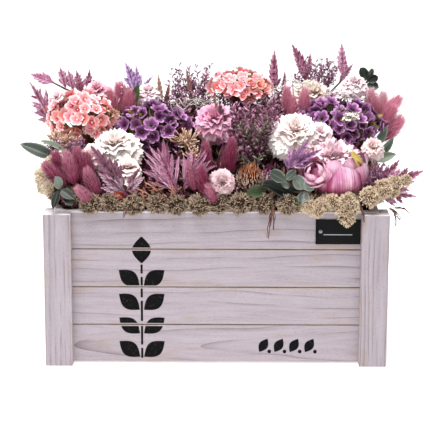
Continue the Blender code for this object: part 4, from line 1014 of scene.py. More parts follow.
def toothed_finish(name, dark, body, pale):
    """Dried leaf: body colour with darker rib and side veins, paler rims, dry blotches."""
    finish = Finish(name, roughness=0.68, specular_ior_level=0.25, sheen_weight=0.1)
    across, along, chance = finish.grown()
    blotch = finish.place().cloud(90.0, 4.0)
    side_vein = (along * 26.0 - abs(across) * 5.0).math("SINE").between(0.55, 1.0)
    rib = (0.22 - abs(across)).between(0.0, 0.16)
    tone = blotch * 0.9 + (chance - 0.5) * 0.9 + abs(across) * 0.25 + along * 0.15
    colour = tone.between(0.15, 0.95).blend(body, pale)
    colour = (side_vein * 0.45 + rib * 0.4).blend(colour, dark)
    colour = ((blotch * 1.2 + chance).between(1.0, 0.35) * 0.6).blend(colour, dark)
    return finish.feed(colour, height=side_vein * -1.0 - rib, relief=0.35, distance=0.0006)


PLAIN_LOBES = (3, 0.46, 38, 0.55)


def add_toothed(piece, rng, roots, tips, widths, finish=0, form=PLAIN_LOBES):
    """Leaves from roots to tips, each with pairs of smaller lobes that branch from its lower rib.

    The form is the count of pairs, their length and slant, and their width, as shares."""
    lobes, lobe_size, spread, lobe_width = form
    roots, tips, widths = (np.asarray(a, float) for a in (roots, tips, widths))
    count = len(roots)
    axes = facing_axes(tips - roots, unit((0.0, -0.8, 0.5) + rng.normal(0, 0.25, (count, 3))))
    lengths = np.linalg.norm(tips - roots, axis=1)
    leaf, lobe = toothed_shape(7), toothed_shape(4)
    grids = placed(leaf, axes, roots, points_at(widths, lengths * 0.6, lengths))
    piece.add(grids, leaf_values(leaf, rng.uniform(0, 1, count)), finish)
    for k in range(2 * lobes):
        pair, side = k // 2, (-1) ** k
        share = 0.12 + 0.16 * pair + rng.uniform(-0.04, 0.04, (count, 1))
        slant = np.radians(spread + rng.uniform(-8, 8, (count, 1)))
        along = axes[:, 2] * np.cos(slant) + side * axes[:, 0] * np.sin(slant)
        reach = lengths * (lobe_size - 0.07 * pair) * rng.uniform(0.85, 1.15, count)
        sizes = points_at(widths * lobe_width, reach * 0.6, reach)
        grids = placed(lobe, facing_axes(along, axes[:, 1]), roots + (tips - roots) * share, sizes)
        piece.add(grids, leaf_values(lobe, rng.uniform(0, 1, count)), finish)


LEAF_SPRAYS = (
    ("left", "dusty", (((-148, 44), (-156, 34, 292)), ((-156, 34, 290), (-200, 26, 313)),
                       ((-150, 42, 215), (-201, 24, 263)), ((-150, 41, 213), (-147, 74, 228))), (
        ((-198, 26, 312), (-226, 25, 323), 11), ((-184, 28, 306), (-190, 25, 331), 9),
        ((-175, 30, 302), (-180, 25, 328), 9), ((-166, 32, 298), (-170, 25, 327), 9),
        ((-156, 34, 291), (-155, 28, 328), 9), ((-200, 25, 262), (-226, 18, 315), 10),
        ((-193, 27, 256), (-209, 24, 304), 9), ((-197, 26, 260), (-224, 26, 287), 9),
        ((-147, 73, 227), (-176, 100, 250), 15), ((-147, 70, 226), (-132, 104, 248), 14))),
    ("lilac_back", "lilac", (((-100, 62), (-98, 60, 292)), ((-99, 61, 240), (-106, 80, 248))), (
        ((-98, 60, 291), (-112, 58, 332), 14), ((-98, 60, 280), (-121, 58, 308), 9),
        ((-98, 60, 290), (-99, 64, 328), 9), ((-98, 60, 285), (-80, 60, 316), 9),
        ((-106, 79, 247), (-120, 106, 258), 14), ((-104, 74, 246), (-90, 108, 238), 12))),
    ("front_left", "dark", (((-104, -80), (-106, -98, 209)),), (
        ((-106, -98, 207), (-143, -114, 262), 22), ((-106, -97, 205), (-122, -112, 246), 9),
        ((-106, -96, 203), (-88, -110, 238), 9))),
    ("front_centre", "dusty", (((-46, -80), (-46, -97, 208)),), (
        ((-46, -98, 206), (-68, -104, 258), 12), ((-46, -97, 204), (-76, -106, 238), 8),
        ((-38, -96, 208), (-8, -102, 244), 9), ((-38, -96, 208), (-24, -104, 252), 9))),
    ("back_right", "dusty", (((112, 76), (112, 76, 312)), ((112, 76, 270), (73, 70, 297)),
                             ((112, 76, 264), (158, 70, 312)), ((112, 76, 216), (118, 92, 228))), (
        ((73, 70, 296), (70, 68, 346), 14), ((80, 71, 292), (85, 70, 320), 8),
        ((112, 76, 308), (94, 72, 353), 16), ((112, 76, 312), (116, 72, 342), 9),
        ((158, 70, 312), (153, 66, 355), 14), ((152, 71, 306), (168, 66, 330), 8),
        ((116, 88, 225), (96, 112, 246), 14), ((118, 92, 227), (142, 112, 244), 15))),
    ("right", "dusty", (((168, -80), (169, -81, 196)), ((168, -81, 193), (192, -84, 208))), (
        ((192, -84, 208), (241, -86, 229), 16), ((184, -83, 203), (233, -93, 200), 11),
        ((187, -84, 205), (214, -74, 240), 12))),
)
LEAF_FORMS = {
    "back_right": (3, 0.28, 26, 0.42), "left": (4, 0.44, 36, 0.42), "lilac_back": (2, 0.5, 22, 0.6),
    "front_left": (2, 0.36, 34, 0.5), "front_centre": (4, 0.72, 22, 0.42),
}
TOOTHED_FINISHES = {
    "variegated": toothed_finish("leaf_variegated", (84, 34, 58), (148, 92, 120), (206, 170, 186)),
    "dusty": toothed_finish("leaf_dusty_mauve", (112, 40, 70), (184, 108, 144), (230, 178, 206)),
    "lilac": toothed_finish("leaf_lilac", (122, 74, 150), (172, 126, 192), (218, 184, 228)),
    "dark": toothed_finish("leaf_dark_mauve", (40, 10, 24), (84, 34, 58), (160, 106, 130)),
    "purple": toothed_finish("leaf_purple", (60, 28, 64), (122, 70, 122), (188, 136, 176)),
}
twig_brown = blade_finish("twig_brown", (70, 48, 44), (136, 104, 96))
for seed, (word, shade, ribs, leaves) in enumerate(LEAF_SPRAYS):
    rng = np.random.default_rng(600 + seed)
    spray = Piece()
    roots, tips, widths = (np.array(column, float) for column in zip(*leaves, strict=True))
    add_toothed(spray, rng, roots, tips, widths * 0.95, form=LEAF_FORMS.get(word, PLAIN_LOBES))
    for start, end in ribs:
        add_stem(spray, start, end, (1.5, 1.0), 6, bow=(0, 1, -1), steps=7)
    lifted = roots + (0, 0.3, 0)
    add_stem(spray, lifted, lifted + (tips - roots) * 0.9, (0.8, 0.25), 4)
    slot = "leaf_lilac" if shade == "lilac" else "leaf_mauve"
    spray.make(f"toothed_spray_{word}", [TOOTHED_FINISHES[shade], twig_brown], slot, f"leaf_{word}")

# Heather and statice are dried twigs that fork from one stem. Heather is set with short needles
# and tiny bells, and statice ends in papery plum cups on hair-thin side twigs.

GOLDEN_TURN = 2.4


def sprig(piece, rng, starts, ends, needles, size, finishes, cups, first, girth=0.7):
    """Bowed twigs with needles along them, and cups at some of the needle places.

    A needle stands at an even share of its twig and turns by the golden angle from the last."""
    starts, ends = np.broadcast_arrays(np.atleast_2d(starts), np.atleast_2d(ends))
    count = len(starts)
    bows = rng.normal(0, 0.07, (count, 3)) * np.linalg.norm(ends - starts, axis=1)[:, None]
    twig, needle, cup = finishes
    chances = rng.uniform(0, 1, (count, 1, 1))
    add_stem(piece, starts, ends, (girth, girth * 0.45), 4, twig, 0.4, chances, bows, 6)
    shifts = rng.uniform(-0.3, 0.3, (count, needles, 1)) / needles
    t = np.linspace(first, 1.0, needles)[:, None] + shifts
    spots = starts[:, None] + (ends - starts)[:, None] * t + bows[:, None] * 4 * t * (1 - t)
    axis = headings(ends - starts)[:, None]
    turn = (np.arange(needles) * GOLDEN_TURN + rng.uniform(*ANY_TURN, (count, 1)))[..., None]
    radial = np.cos(turn) * axis[:, :, 0] + np.sin(turn) * axis[:, :, 1]
    lean = unit(radial * 0.9 + axis[:, :, 2] * rng.uniform(0.4, 1.1, (count, needles, 1)))
    spots, lean = spots.reshape(-1, 3), lean.reshape(-1, 3)
    total, leaf = len(spots), leaf_shape(3, 3, 0.15, 0.3)
    length = size * rng.uniform(0.7, 1.3, total)
    axes = headings(lean, rng.uniform(*ANY_TURN, total))
    grids = placed(leaf, axes, spots, points_at(length * 0.30, length, length))
    piece.add(grids, leaf_values(leaf, rng.uniform(0, 1, total)), needle)
    if cups:
        chosen = rng.uniform(0, 1, total) < cups
        at = spots[chosen] + lean[chosen] * length[chosen, None] * 0.8
        bead, sizes = ball(4, 5), size * 0.19 * rng.uniform(0.8, 1.3, (len(at), 1))
        grids = placed(bead, axes[chosen], at, sizes * (1, 1, 1.2))
        values = (0, (bead[..., 2] + 1) / 2, rng.uniform(0, 1, (len(at), 1, 1)))
        piece.add(grids, values, cup, wrap=True)


def lattice_box(low, high, count, rng):
    """Points spread through a box: one coordinate in even steps, the others by golden ratios."""
    k = np.arange(count)
    shares = points_at((k + 0.5) / count, (k * 0.6180339) % 1.0, (k * 0.7548777 + 0.3) % 1.0)
    shares = shares + rng.uniform(-0.04, 0.04, (count, 3))
    return np.asarray(low) + (np.asarray(high, float) - low) * shares


heather_rng = np.random.default_rng(400)
heather_twig = blade_finish("heather_twig", (62, 42, 38), (132, 100, 86))
heather_needle = blade_finish("heather_needle", (100, 46, 74), (220, 164, 190))
heather_bell = blade_finish("heather_bell", (132, 72, 104), (218, 164, 190))
sage_needle = blade_finish("sage_needle", (80, 78, 62), (184, 182, 158))
heather, fork = Piece(), (45, -40, 214)
add_stem(heather, (46, -40), fork, 1.8, 6, 0, 0.4, 0.4)
for low, high, count, needles, size, kinds, cups, first in (
    ((16, -68, 244), (78, 6, 304), 46, 38, 8.5, (0, 1, 2), 0.10, 0.35),
    ((18, -78, 236), (70, -10, 288), 22, 24, 7.5, (0, 3, 2), 0.0, 0.45),
):
    tips = lattice_box(low, high, count, heather_rng)
    sprig(heather, heather_rng, fork, tips, needles, size, kinds, cups, first)
heather_finishes = [heather_twig, heather_needle, heather_bell, sage_needle]
heather.make("heather_bush", heather_finishes, "heather_mauve", "heather_centre")

statice_leaf = blade_finish("statice_leaf", (116, 66, 94), (206, 160, 184))
statice_cup = blade_finish("statice_cup", (84, 38, 66), (190, 138, 168))
STATICE = (
    ("back_left", (-22, 50), (-26, 52, 262), (-60, 34, 296), (-4, 78, 332)),
    ("back_right", (136, 74), (130, 72, 280), (96, 56, 306), (150, 86, 336)),
)
count = 24
for seed, (word, foot, fork, low, high) in enumerate(STATICE):
    rng = np.random.default_rng(430 + seed)
    spray = Piece()
    add_stem(spray, foot, fork, 1.8, 6, 0, 0.4, 0.4)
    tips = lattice_box(low, high, count, rng)
    sprig(spray, rng, fork, tips, 9, 6.5, (0, 1, 2), 0.45, 0.5, girth=0.5)
    starts = fork + (tips - fork) * rng.uniform(0.5, 0.8, (count, 1))
    side = unit(tips - fork + rng.normal(0, 12, (count, 3)))
    ends = starts + side * rng.uniform(9, 16, (count, 1))
    sprig(spray, rng, starts, ends, 7, 5.0, (0, 1, 2), 0.9, 0.4, girth=0.35)
    finishes = [heather_twig, statice_leaf, statice_cup]
    spray.make(f"statice_spray_{word}", finishes, "statice_plum", f"statice_{word}")

# The eucalyptus sprigs are cut fresh: waxy leaves, grey-green with a bloom and a pale rim, on
# brown twigs that are pushed into the foam. The left sprig ends in longer leaves.


def round_leaf(rows=8, columns=7, cup=0.18):
    """A round leaf of length 1 and width 1: its half width is a circle's, drawn in at the foot,
    and it is cupped as the squares of both its length and its width."""
    u, v = spans(rows, columns)
    half = 0.5 * np.sqrt(np.clip(1 - (2 * u - 1) ** 2, 0, 1)) * (0.55 + 0.45 * np.clip(u * 3, 0, 1))
    return points_at(half * v, cup * ((2 * u - 1) ** 2 * 0.5 + v * v * half * 1.6), u)


def waxy_finish(name, dark, body, rim):
    """A waxy leaf: green with a grey bloom, a paler rib and rim."""
    finish = Finish(name, roughness=0.42, specular_ior_level=0.45)
    across, along, chance = finish.grown()
    bloom = finish.place().cloud(80.0, 4.0)
    edge = (abs(across).between(0.72, 1.0) + along.between(0.88, 1.0)).math("MINIMUM", 1.0)
    vein = (0.14 - abs(across)).between(0.0, 0.1)
    colour = (bloom + (chance - 0.5) * 1.1).between(0.15, 0.85).blend(dark, body)
    colour = (edge * 0.4 + vein * 0.12).blend(colour, rim)
    return finish.feed(colour, bloom * 0.25 + 0.32, bloom, 0.2, 0.0006)


EUCALYPTUS = (
    ("left", (((-168, -66), (-186, -68, 238)), ((-178, -67, 200), (-180, -112, 211))), (
        ((-186, -68, 237), (-231, -66, 256), 16), ((-180, -108, 211), (-185, -114, 227), 13),
        ((-180, -112, 211), (-164, -119, 202), 12), ((-182, -112, 210), (-188, -124, 191), 9),
        ((-176, -112, 206), (-166, -120, 194), 9))),
    ("front", (((78, -80), (84, -104, 216)), ((82, -98, 208), (101, -112, 210))), (
        ((79, -110, 222), (60, -115, 233), 15), ((80, -108, 222), (92, -108, 233), 11),
        ((100, -112, 212), (88, -115, 229), 15), ((101, -112, 212), (113, -116, 224), 14),
        ((101, -112, 210), (99, -122, 197), 13), ((84, -104, 214), (73, -113, 219), 10))),
    ("back_right", (((172, 62), (186, 60, 312)), ((177, 61, 208), (174, 92, 236))), (
        ((186, 60, 311), (176, 58, 327), 12), ((185, 60, 306), (200, 58, 302), 11),
        ((187, 60, 312), (190, 57, 327), 10), ((186, 60, 309), (199, 58, 316), 10),
        ((185, 58, 308), (174, 52, 312), 9),
        ((184, 60, 300), (170, 56, 302), 11), ((182, 60, 288), (198, 62, 282), 11),
        ((174, 92, 235), (158, 104, 250), 16), ((174, 87, 231), (190, 106, 246), 14),
        ((174, 82, 226), (170, 108, 222), 14))),
)
waxy_grey = waxy_finish("eucalyptus_grey", (62, 72, 64), (132, 144, 132), (190, 194, 182))
waxy_dark = waxy_finish("eucalyptus_dark", (14, 22, 18), (52, 66, 54), (116, 122, 104))
for seed, (word, twigs, leaves) in enumerate(EUCALYPTUS):
    rng = np.random.default_rng(700 + seed)
    branch = Piece()
    roots, tips, widths = (np.array(column, float) for column in zip(*leaves, strict=True))
    normals = unit((0.1, -0.8, 0.5) + rng.normal(0, 0.2, roots.shape))
    lengths = np.linalg.norm(tips - roots, axis=1)
    shape = leaf_shape(9, 7, -0.06, 0.2, 0.95) if word == "left" else round_leaf()
    sizes = points_at(widths * 1.05, lengths * 0.7, lengths)
    grids = placed(shape, facing_axes(tips - roots, normals), roots, sizes)
    chances, grey = rng.uniform(0, 1, len(roots)), 2 if word == "left" else len(roots)
    branch.add(grids[:grey], leaf_values(shape, chances[:grey]))
    branch.add(grids[grey:], leaf_values(shape, chances[grey:]), 2)
    for start, end in twigs:
        add_stem(branch, start, end, (1.3, 0.9), 6, tone=0.4, bow=(0, 1, -2), steps=7)
    finishes = [waxy_dark if word == "back_right" else waxy_grey, twig_brown, waxy_dark]
    branch.make(f"eucalyptus_sprig_{word}", finishes, "eucalyptus_grey", f"eucalyptus_{word}")

# Reindeer moss is a pale spongy lichen. Tufts of it are tucked along the rim between the planks
# and the flowers, and one clump is wired so that it hangs over the card.


def lumpy(out):
    """How far a lumpy ball reaches in each direction: 1 and small waves of its coordinates."""
    x, y, z = out[..., :1], out[..., 1:2], out[..., 2:]
    return 1 + 0.10 * np.sin(x * 5 + 1) * np.sin(y * 6) + 0.06 * np.sin(z * 7)


def moss_tuft(rng, arms=195, forks=3):
    """The tips of a tuft of radius 1: short arms on an even lattice, each forked near its end.

    Every fork is a three-sided spike of three rings, thickest near its tip, as a coral's is."""
    out = unit(lattice(arms, 176) + rng.normal(0, 0.08, (arms, 3)))
    lobe, out = np.repeat(lumpy(out), forks, axis=0), np.repeat(out, forks, axis=0)
    ends = unit(out + rng.normal(0, 0.105, out.shape)) * lobe
    ends = ends * rng.uniform(0.84, 1.06, (len(out), 1))
    starts = out * lobe * 0.68
    axes = headings(ends - starts)[:, None]
    turn = (2 * math.pi * np.arange(3) / 3)[:, None]
    ring = np.cos(turn) * axes[:, :, 0] + np.sin(turn) * axes[:, :, 1]
    girths = ((0.0, 0.018), (0.80, 0.040), (1.0, 0.014))
    rings = [(starts + (ends - starts) * share)[:, None] + ring * girth for share, girth in girths]
    return np.stack(rings, axis=1)


def lichen(name, depth, tips):
    """Dry lichen: near black in the depth of a tuft, which is painted shade, grey or cream at its
    tips.
    """
    finish = Finish(name, roughness=0.92, specular_ior_level=0.1)
    pale, along, chance = finish.grown()
    fleck = finish.place().cloud(420.0, 3.0)
    shade_noise = finish.place().cloud(150.0)
    # Painted shade: the colour runs from near black at the middle of a tuft, where the arms shade one
    # another, to grey or cream at the tips, and the shade noise moves where the dark lies.
    reach = along + (fleck - 0.5) * 0.5 + (chance - 0.5) * 0.2 + (shade_noise - 0.5) * 0.5
    grey = reach.between(0.58, 1.0).blend((34, 20, 14), (180, 156, 134))
    cream = reach.between(0.50, 0.94).blend(depth, tips)
    return finish.feed(pale.blend(grey, cream), height=fleck, relief=0.6, distance=0.0015)


moss_finish = lichen("reindeer_moss", (88, 56, 42), (242, 222, 194))
moss_white = lichen("reindeer_moss_bleached", (176, 146, 116), (255, 243, 222))


def moss_clumps(name, finish, centres, radii, pale, seed, *nodes):
    """Tufts at the centres, each round a lumpy core of its own, coloured dark as painted shade
    inside the tuft. Arms that point down into the planks and the foam are left out."""
    rng = np.random.default_rng(seed)
    clumps = Piece()
    axes = headings(unit(rng.normal(0, 1, (len(centres), 3))), rng.uniform(*ANY_TURN, len(centres)))
    outward = unit((centres * (1 / 200, 1 / 110, 0)) ** 3 + (0, 0, 0.6))
    for kind in range(3):
        tuft, chosen = moss_tuft(rng), np.arange(len(centres)) % 3 == kind
        turned = np.einsum("trci,nij->ntrcj", tuft, axes[chosen])
        seen = np.einsum("ntj,nj->nt", turned.mean(axis=(2, 3)), outward[chosen]) > -0.3
        sizes, places = radii[chosen].reshape(-1, 1, 1, 1, 1), centres[chosen][:, None, None, None]
        tone = np.broadcast_to(pale[chosen][:, None], seen.shape)[seen][:, None, None]
        chance = rng.uniform(0, 1, seen.shape)[seen][:, None, None]
        depth = np.linalg.norm(turned, axis=-1)[seen]
        clumps.add((turned * sizes + places)[seen], (tone, depth, chance), wrap=True)
    # The core is painted shade: a dark ball that fills the inside of each tuft.
    shell = ball(9, 12)
    core = placed(shell * lumpy(shell), axes, centres, radii[:, None] * 0.76)
    clumps.add(core, (pale[:, None, None], 0.62, 0.5), wrap=True)
    clumps.make(name, [finish], "moss_cream", *nodes)


moss_rng = np.random.default_rng(500)
front_path = np.array((
    (-207, -74, 207, 11), (-190, -79, 204, 11), (-168, -96, 198, 11), (-155, -109, 193, 13),
    (0, -109, 192.5, 13), (120, -109, 194, 12), (165, -106, 198, 12), (190, -98, 206, 13),
    (214, -92, 212, 11),
))
in_front, behind = np.arange(-196, 214, 25.0), np.arange(-192, 205, 17.0)
x = np.concatenate([in_front, behind])
back_row = np.arange(len(x)) >= len(in_front)
x = x + moss_rng.uniform(-3.5, 3.5, len(x))
y, z, size = (np.interp(x, front_path[:, 0], front_path[:, k]) for k in (1, 2, 3))
y = y + back_row * 12 + moss_rng.uniform(-1.5, 2.5, len(x))
z = z - back_row * 1 + moss_rng.uniform(-1, 2.5, len(x))
size = size * moss_rng.uniform(0.95, 1.15, len(x)) * (1 - 0.3 * back_row)
tone = np.clip((x - 60) / 60, 0.1, 1.0) * (1 - 0.5 * back_row) + moss_rng.uniform(-0.1, 0.1, len(x))
tone = np.where(x < 0, np.clip((-x - 165) / 30, 0.15, 1.0), tone)
extra = np.array((
    (150, -121, 181, 10.5), (146, -120, 190, 10), (156, -119, 192, 10), (150, -118, 199, 11),
    (107, -119, 193, 9.5), (116, -120, 189, 9.5), (121, -118, 196, 9), (176, -112, 203, 13),
    (192, -108, 212, 12), (206, -100, 217, 10), (219, -98, 220, 8), (133, -116, 199, 10),
))
centres = np.concatenate([points_at(x, y, z), extra[:, :3]])
radii = np.concatenate([size, extra[:, 3]])
tone = np.concatenate([tone, np.ones(len(extra))])
right = centres[:, 0] > 60
for name, part, seed, *nodes in (
    ("moss_ruff_front", ~right, 501, "moss_front"),
    ("moss_ruff_front_right", right, 504),
):
    moss_clumps(name, moss_finish, centres[part], radii[part], tone[part], seed, *nodes)
corner = np.array((
    (-200, -84, 228, 8), (-203, -82, 216, 10), (-195, -88, 208, 9), (-202, -76, 206, 10),
    (-188, -92, 218, 9), (-194, -78, 236, 8), (-207, -78, 222, 7),
))
moss_clumps("moss_corner_bleached", moss_white, corner[:, :3], corner[:, 3], np.full(7, 0.95), 505)
for word, seed in (("back", 502), ("left", 503), ("right", 503)):
    if word == "back":
        x = np.arange(-196, 197, 15.0)
        y = 101 + moss_rng.uniform(-2, 2, len(x))
    else:
        y = np.arange(-76, 79, 14.0)
        x = (186 + moss_rng.uniform(-1, 2, len(y))) * (1 if word == "right" else -1)
    centres = points_at(x, y, 196 + moss_rng.uniform(-1, 3, len(x)))
    radii, tone = moss_rng.uniform(11, 14, len(x)), moss_rng.uniform(0.2, 0.9, len(x))
    moss_clumps(f"moss_ruff_{word}", moss_finish, centres, radii, tone, seed, f"moss_{word}")

# Dried sprigs of needles, dyed mauve, plum, sage and straw, are pushed into the foam all over,
# and taller ones behind, so that they fill the places between the heads.

filler_rng = np.random.default_rng(41)
straw_needle = blade_finish("straw_needle", (112, 84, 66), (216, 188, 160))
plum_needle = blade_finish("plum_needle", (64, 30, 46), (150, 98, 122))
FILLER_SPRIGS = (
    ("mauve_sprigs", 90, (0, 1, 2), 0.25, 7.0),
    ("plum_sprigs", 80, (0, 3, 2), 0.15, 8.0),
    ("sage_sprigs", 60, (0, 4, 2), 0.0, 7.5),
    ("straw_sprigs", 60, (0, 5, 5), 0.2, 6.0),
    ("back_mauve_sprigs", 90, (0, 1, 2), 0.3, 8.0),
    ("back_plum_sprigs", 60, (0, 3, 2), 0.3, 8.0),
)
filler_finishes = [
    heather_twig, heather_needle, heather_bell, plum_needle, sage_needle, straw_needle,
]
for name, count, kinds, cups, size in FILLER_SPRIGS:
    x, y = filler_rng.uniform(-172, 172, count), filler_rng.uniform(-94, 92, count)
    taller = 0
    if "back" in name:
        x, y = filler_rng.uniform(-150, 168, count), filler_rng.uniform(8, 66, count)
        taller = 16
    starts = points_at(x, y, foam_top(x, y) - 3)
    top = np.maximum(canopy(x, y) - filler_rng.uniform(2, 22, count) + taller, starts[:, 2] + 16)
    drift_x, drift_y = filler_rng.normal(0, 7, count), filler_rng.normal(-2, 7, count)
    ends = points_at(x * 1.06 + drift_x, y * 1.06 + drift_y, top)
    sprigs = Piece()
    sprig(sprigs, filler_rng, starts, ends, 18, size, kinds, cups, 0.35)
    sprigs.make(name, filler_finishes, "heather_mauve")

# Small blooms and leaves fill single places: twelve pale, rose and blush blooms beside the tails,
# behind the domes and at the ends, and smooth or toothed leaves, each on its own stem.

SMALL_BLOOM_LAYERS = ((110, 6), (84, 6), (62, 6), (43, 5), (26, 5), (11, 3))
SMALL_BLOOMS = (
    ("pale_left", (-190, 8, 293), 15, (-0.3, -0.5, 0.8), (-160, 10), "pale", 0.08, 0.02),
    ("rose_left", (-146, 24, 298), 17, (0.0, -0.5, 0.85), (-146, 30), "rose", 0.12, 0.0),
    ("pale_front", (-143, -70, 240), 17, (-0.2, -0.8, 0.55), (-140, -60), "white", 0.10, 0.0),
    ("pale_side", (-185, -72, 232), 14, (-0.6, -0.6, 0.5), (-160, -60), "white", 0.10, 0.0),
    ("cream_bud", (-104, -86, 224), 19, (0.1, -0.3, 0.95), (-98, -74), "white", 0.08, 0.0),
    ("blush_right", (104, -62, 236), 17, (0.0, -0.8, 0.6), (100, -60), "rose", 0.08, 0.0),
    ("pink_middle", (121, -36, 260), 17, (0.2, -0.7, 0.7), (118, -30), "pale", 0.09, 0.0),
    ("back_left", (-122, 84, 232), 20, (-0.1, 0.7, 0.7), (-118, 78), "rose", 0.10, 0.04),
    ("back_middle", (8, 88, 228), 17, (0.0, 0.8, 0.6), (8, 80), "pale", 0.10, 0.04),
    ("back_right", (128, 84, 234), 21, (0.1, 0.7, 0.7), (124, 78), "cream", 0.10, 0.04),
    ("left_end", (-178, 48, 226), 18, (-0.8, 0.1, 0.6), (-164, 46), "blush", 0.10, 0.04),
    ("right_end", (182, 44, 228), 18, (0.8, 0.1, 0.6), (166, 44), "white", 0.10, 0.04),
)
for seed, (word, centre, radius, facing, foot, colour, wave, tooth) in enumerate(SMALL_BLOOMS):
    rng = np.random.default_rng(800 + seed)
    bloom = Piece()
    form = {"rows": 7, "columns": 9, "wave": wave, "tooth": tooth}
    add_bloom(bloom, SMALL_BLOOM_LAYERS, rng, centre, facing, radius, **form)
    add_stem(bloom, foot, centre, 1.5, 6, depth=15)
    bloom.make(f"filler_bloom_{word}", [CARNATION_FINISHES[colour], stem_green], "petal_blush")

green_leaf = waxy_finish("leaf_green", (22, 38, 16), (66, 86, 44), (120, 132, 96))
grey_leaf = waxy_finish("leaf_grey_green", (92, 108, 92), (140, 152, 132), (184, 192, 172))
LOOSE_LEAVES = (
    ((-104, 24, 280), (-95, 18, 312), 12, 0), ((60, 34, 284), (50, 26, 316), 13, 1),
    ((52, 34, 284), (66, 26, 312), 11, 1), ((58, -104, 210), (34, -118, 209), 14, 0),
    ((98, -102, 199), (52, -112, 222), 21, 2), ((84, -112, 196), (98, -120, 200), 12, 0),
    ((192, -20, 232), (212, -26, 256), 12, 1), ((190, -24, 228), (214, -34, 238), 12, 1),
    ((188, -10, 236), (206, -10, 268), 11, 1), ((-176, -62, 244), (-206, -74, 262), 9, 1),
    ((-170, -86, 212), (-196, -112, 226), 10, 1), ((-60, -98, 196), (-76, -114, 206), 10, 2),
)
LOOSE_TOOTHED = (
    ((8, -26, 256), (4, -34, 300), 12, 0), ((14, -26, 258), (20, -30, 296), 10, 0),
    ((82, -104, 236), (107, -100, 268), 11, 1), ((84, -104, 238), (121, -104, 258), 9, 1),
    ((82, -102, 232), (90, -104, 256), 8, 1), ((-106, -99, 205), (-135, -113, 230), 12, 3),
    ((-106, -98, 204), (-132, -114, 214), 10, 3), ((-104, -98, 206), (-84, -112, 226), 10, 3),
)


def add_blade(piece, root, tip, width, lift, normal, chance, finish):
    """One smooth leaf or petal from root to tip, whose face looks along the normal."""
    line, blade = np.subtract(tip, root), leaf_shape(8, 7, -0.08, 0.25, 0.9)
    grid = placed(blade, facing_axes(line[None], normal), root, (width, lift, np.linalg.norm(line)))
    piece.add(grid, leaf_values(blade, [chance]), finish)


loose_rng = np.random.default_rng(45)
loose, toothed_loose = Piece(), Piece()
for piece, twig, leaves in ((loose, 3, LOOSE_LEAVES), (toothed_loose, 2, LOOSE_TOOTHED)):
    for root, tip, width, kind in leaves:
        if piece is loose:
            normal = unit((0.1, -0.8, 0.5) + loose_rng.normal(0, 0.25, 3))
            lift, chance = 0.8 * math.dist(root, tip), loose_rng.uniform()
            add_blade(piece, root, tip, width, lift, normal, chance, kind)
        else:
            add_toothed(piece, loose_rng, [root], [tip], [width], kind, (2, 0.46, 38, 0.55))
        foot = (root[0] * 0.93, np.clip(root[1] * 0.85, -90, 90))
        add_stem(piece, foot, np.add(root, np.subtract(tip, root) * 0.1), 0.9, 5, twig, depth=10)
loose.make("loose_green_leaves", [green_leaf, grey_leaf, waxy_dark, twig_brown], "eucalyptus_grey")
dark, purple, variegated = (TOOTHED_FINISHES[shade] for shade in ("dark", "purple", "variegated"))
toothed_loose.make("loose_toothed_leaves", [dark, purple, twig_brown, variegated], "leaf_mauve")

# Dried oddments finish the piece: silvery curled vine, coral root twigs with two orange petals,
# brown roots over the front, bristle heads, tiny white flowers and papery spears.


def curl(start, end, turns, width, wander, rng, steps=34):
    """A curled vine: it runs from start to end while it turns about that line, with the width
    swelling and shrinking as a sine, so that it loops over itself."""
    t = np.linspace(0, 1, steps)[:, None]
    line = np.subtract(end, start)
    across, up, _ = headings(line)[0]
    phase = rng.uniform(*ANY_TURN)
    angle = 2 * math.pi * turns * t + phase
    reach = width * (0.35 + 0.65 * np.abs(np.sin(math.pi * t * 1.3 + phase)))
    path = start + line * t + across * np.cos(angle) * reach + up * np.sin(angle) * reach * 0.6
    return path + wander * np.sin(t * 7 + phase) * np.array((0.3, 0.3, 1.0))


oddments_rng = np.random.default_rng(47)
vine = Piece()
for start, end in (
    ((-56, 26, 288), (-2, 20, 287)), ((-50, 22, 282), (4, 24, 295)),
    ((-40, 28, 294), (-8, 16, 282)), ((70, 30, 306), (128, 24, 316)),
    ((92, 28, 316), (170, 22, 292)), ((128, 20, 300), (196, 24, 296)),
):
    for _ in range(2):
        turns, width = oddments_rng.uniform(1.5, 3.0), oddments_rng.uniform(5, 9)
        loops = curl(start, end, turns, width, 2.5, oddments_rng)
        values = (0, 0.6, oddments_rng.uniform(0.2, 1.0))
        vine.add(tube(loops, np.linspace(0.75, 0.4, len(loops)), 5), values, 0, wrap=True)
    add_stem(vine, start[:2], start, 0.8, 5, 0, 0.4, 0.3, bow=(2, 2, 0), steps=5, depth=10)
silver_vine = blade_finish("silver_vine", (150, 138, 132), (232, 226, 220))
vine.make("silver_vine_curls", [silver_vine], "heather_mauve")

coral = Piece()
for _ in range(26):
    start = np.array((oddments_rng.uniform(-92, -50), oddments_rng.uniform(-100, -88), 190.0))
    reach = (oddments_rng.normal(0, 12), -oddments_rng.uniform(6, 18), oddments_rng.uniform(6, 30))
    end = start + reach
    bow = oddments_rng.normal(0, 5, 3)
    add_stem(coral, start, end, (1.2, 0.6), 5, 0, 0.6, oddments_rng.uniform(), bow, 8)
    fork = bowed(start, end, bow, 8)[0, 5]
    side = fork + (oddments_rng.normal(0, 7), -4, oddments_rng.uniform(2, 10))
    bow = oddments_rng.normal(0, 2, 3)
    add_stem(coral, fork, side, (0.9, 0.5), 5, 0, 0.7, oddments_rng.uniform(), bow, 5)
for root, tip, width in (
    ((-102, -100, 197), (-128, -117, 198), 12), ((-104, -99, 200), (-122, -114, 205), 9),
):
    add_blade(coral, root, tip, width, 20, (0.1, -0.8, 0.5), 0.5, 1)
coral_finishes = [
    blade_finish("coral_twig", (122, 66, 54), (206, 150, 132)),
    petal_finish("orange_petal", (112, 30, 14), (176, 62, 38), (214, 120, 90)),
]
coral.make("coral_twigs", coral_finishes, "heather_mauve")

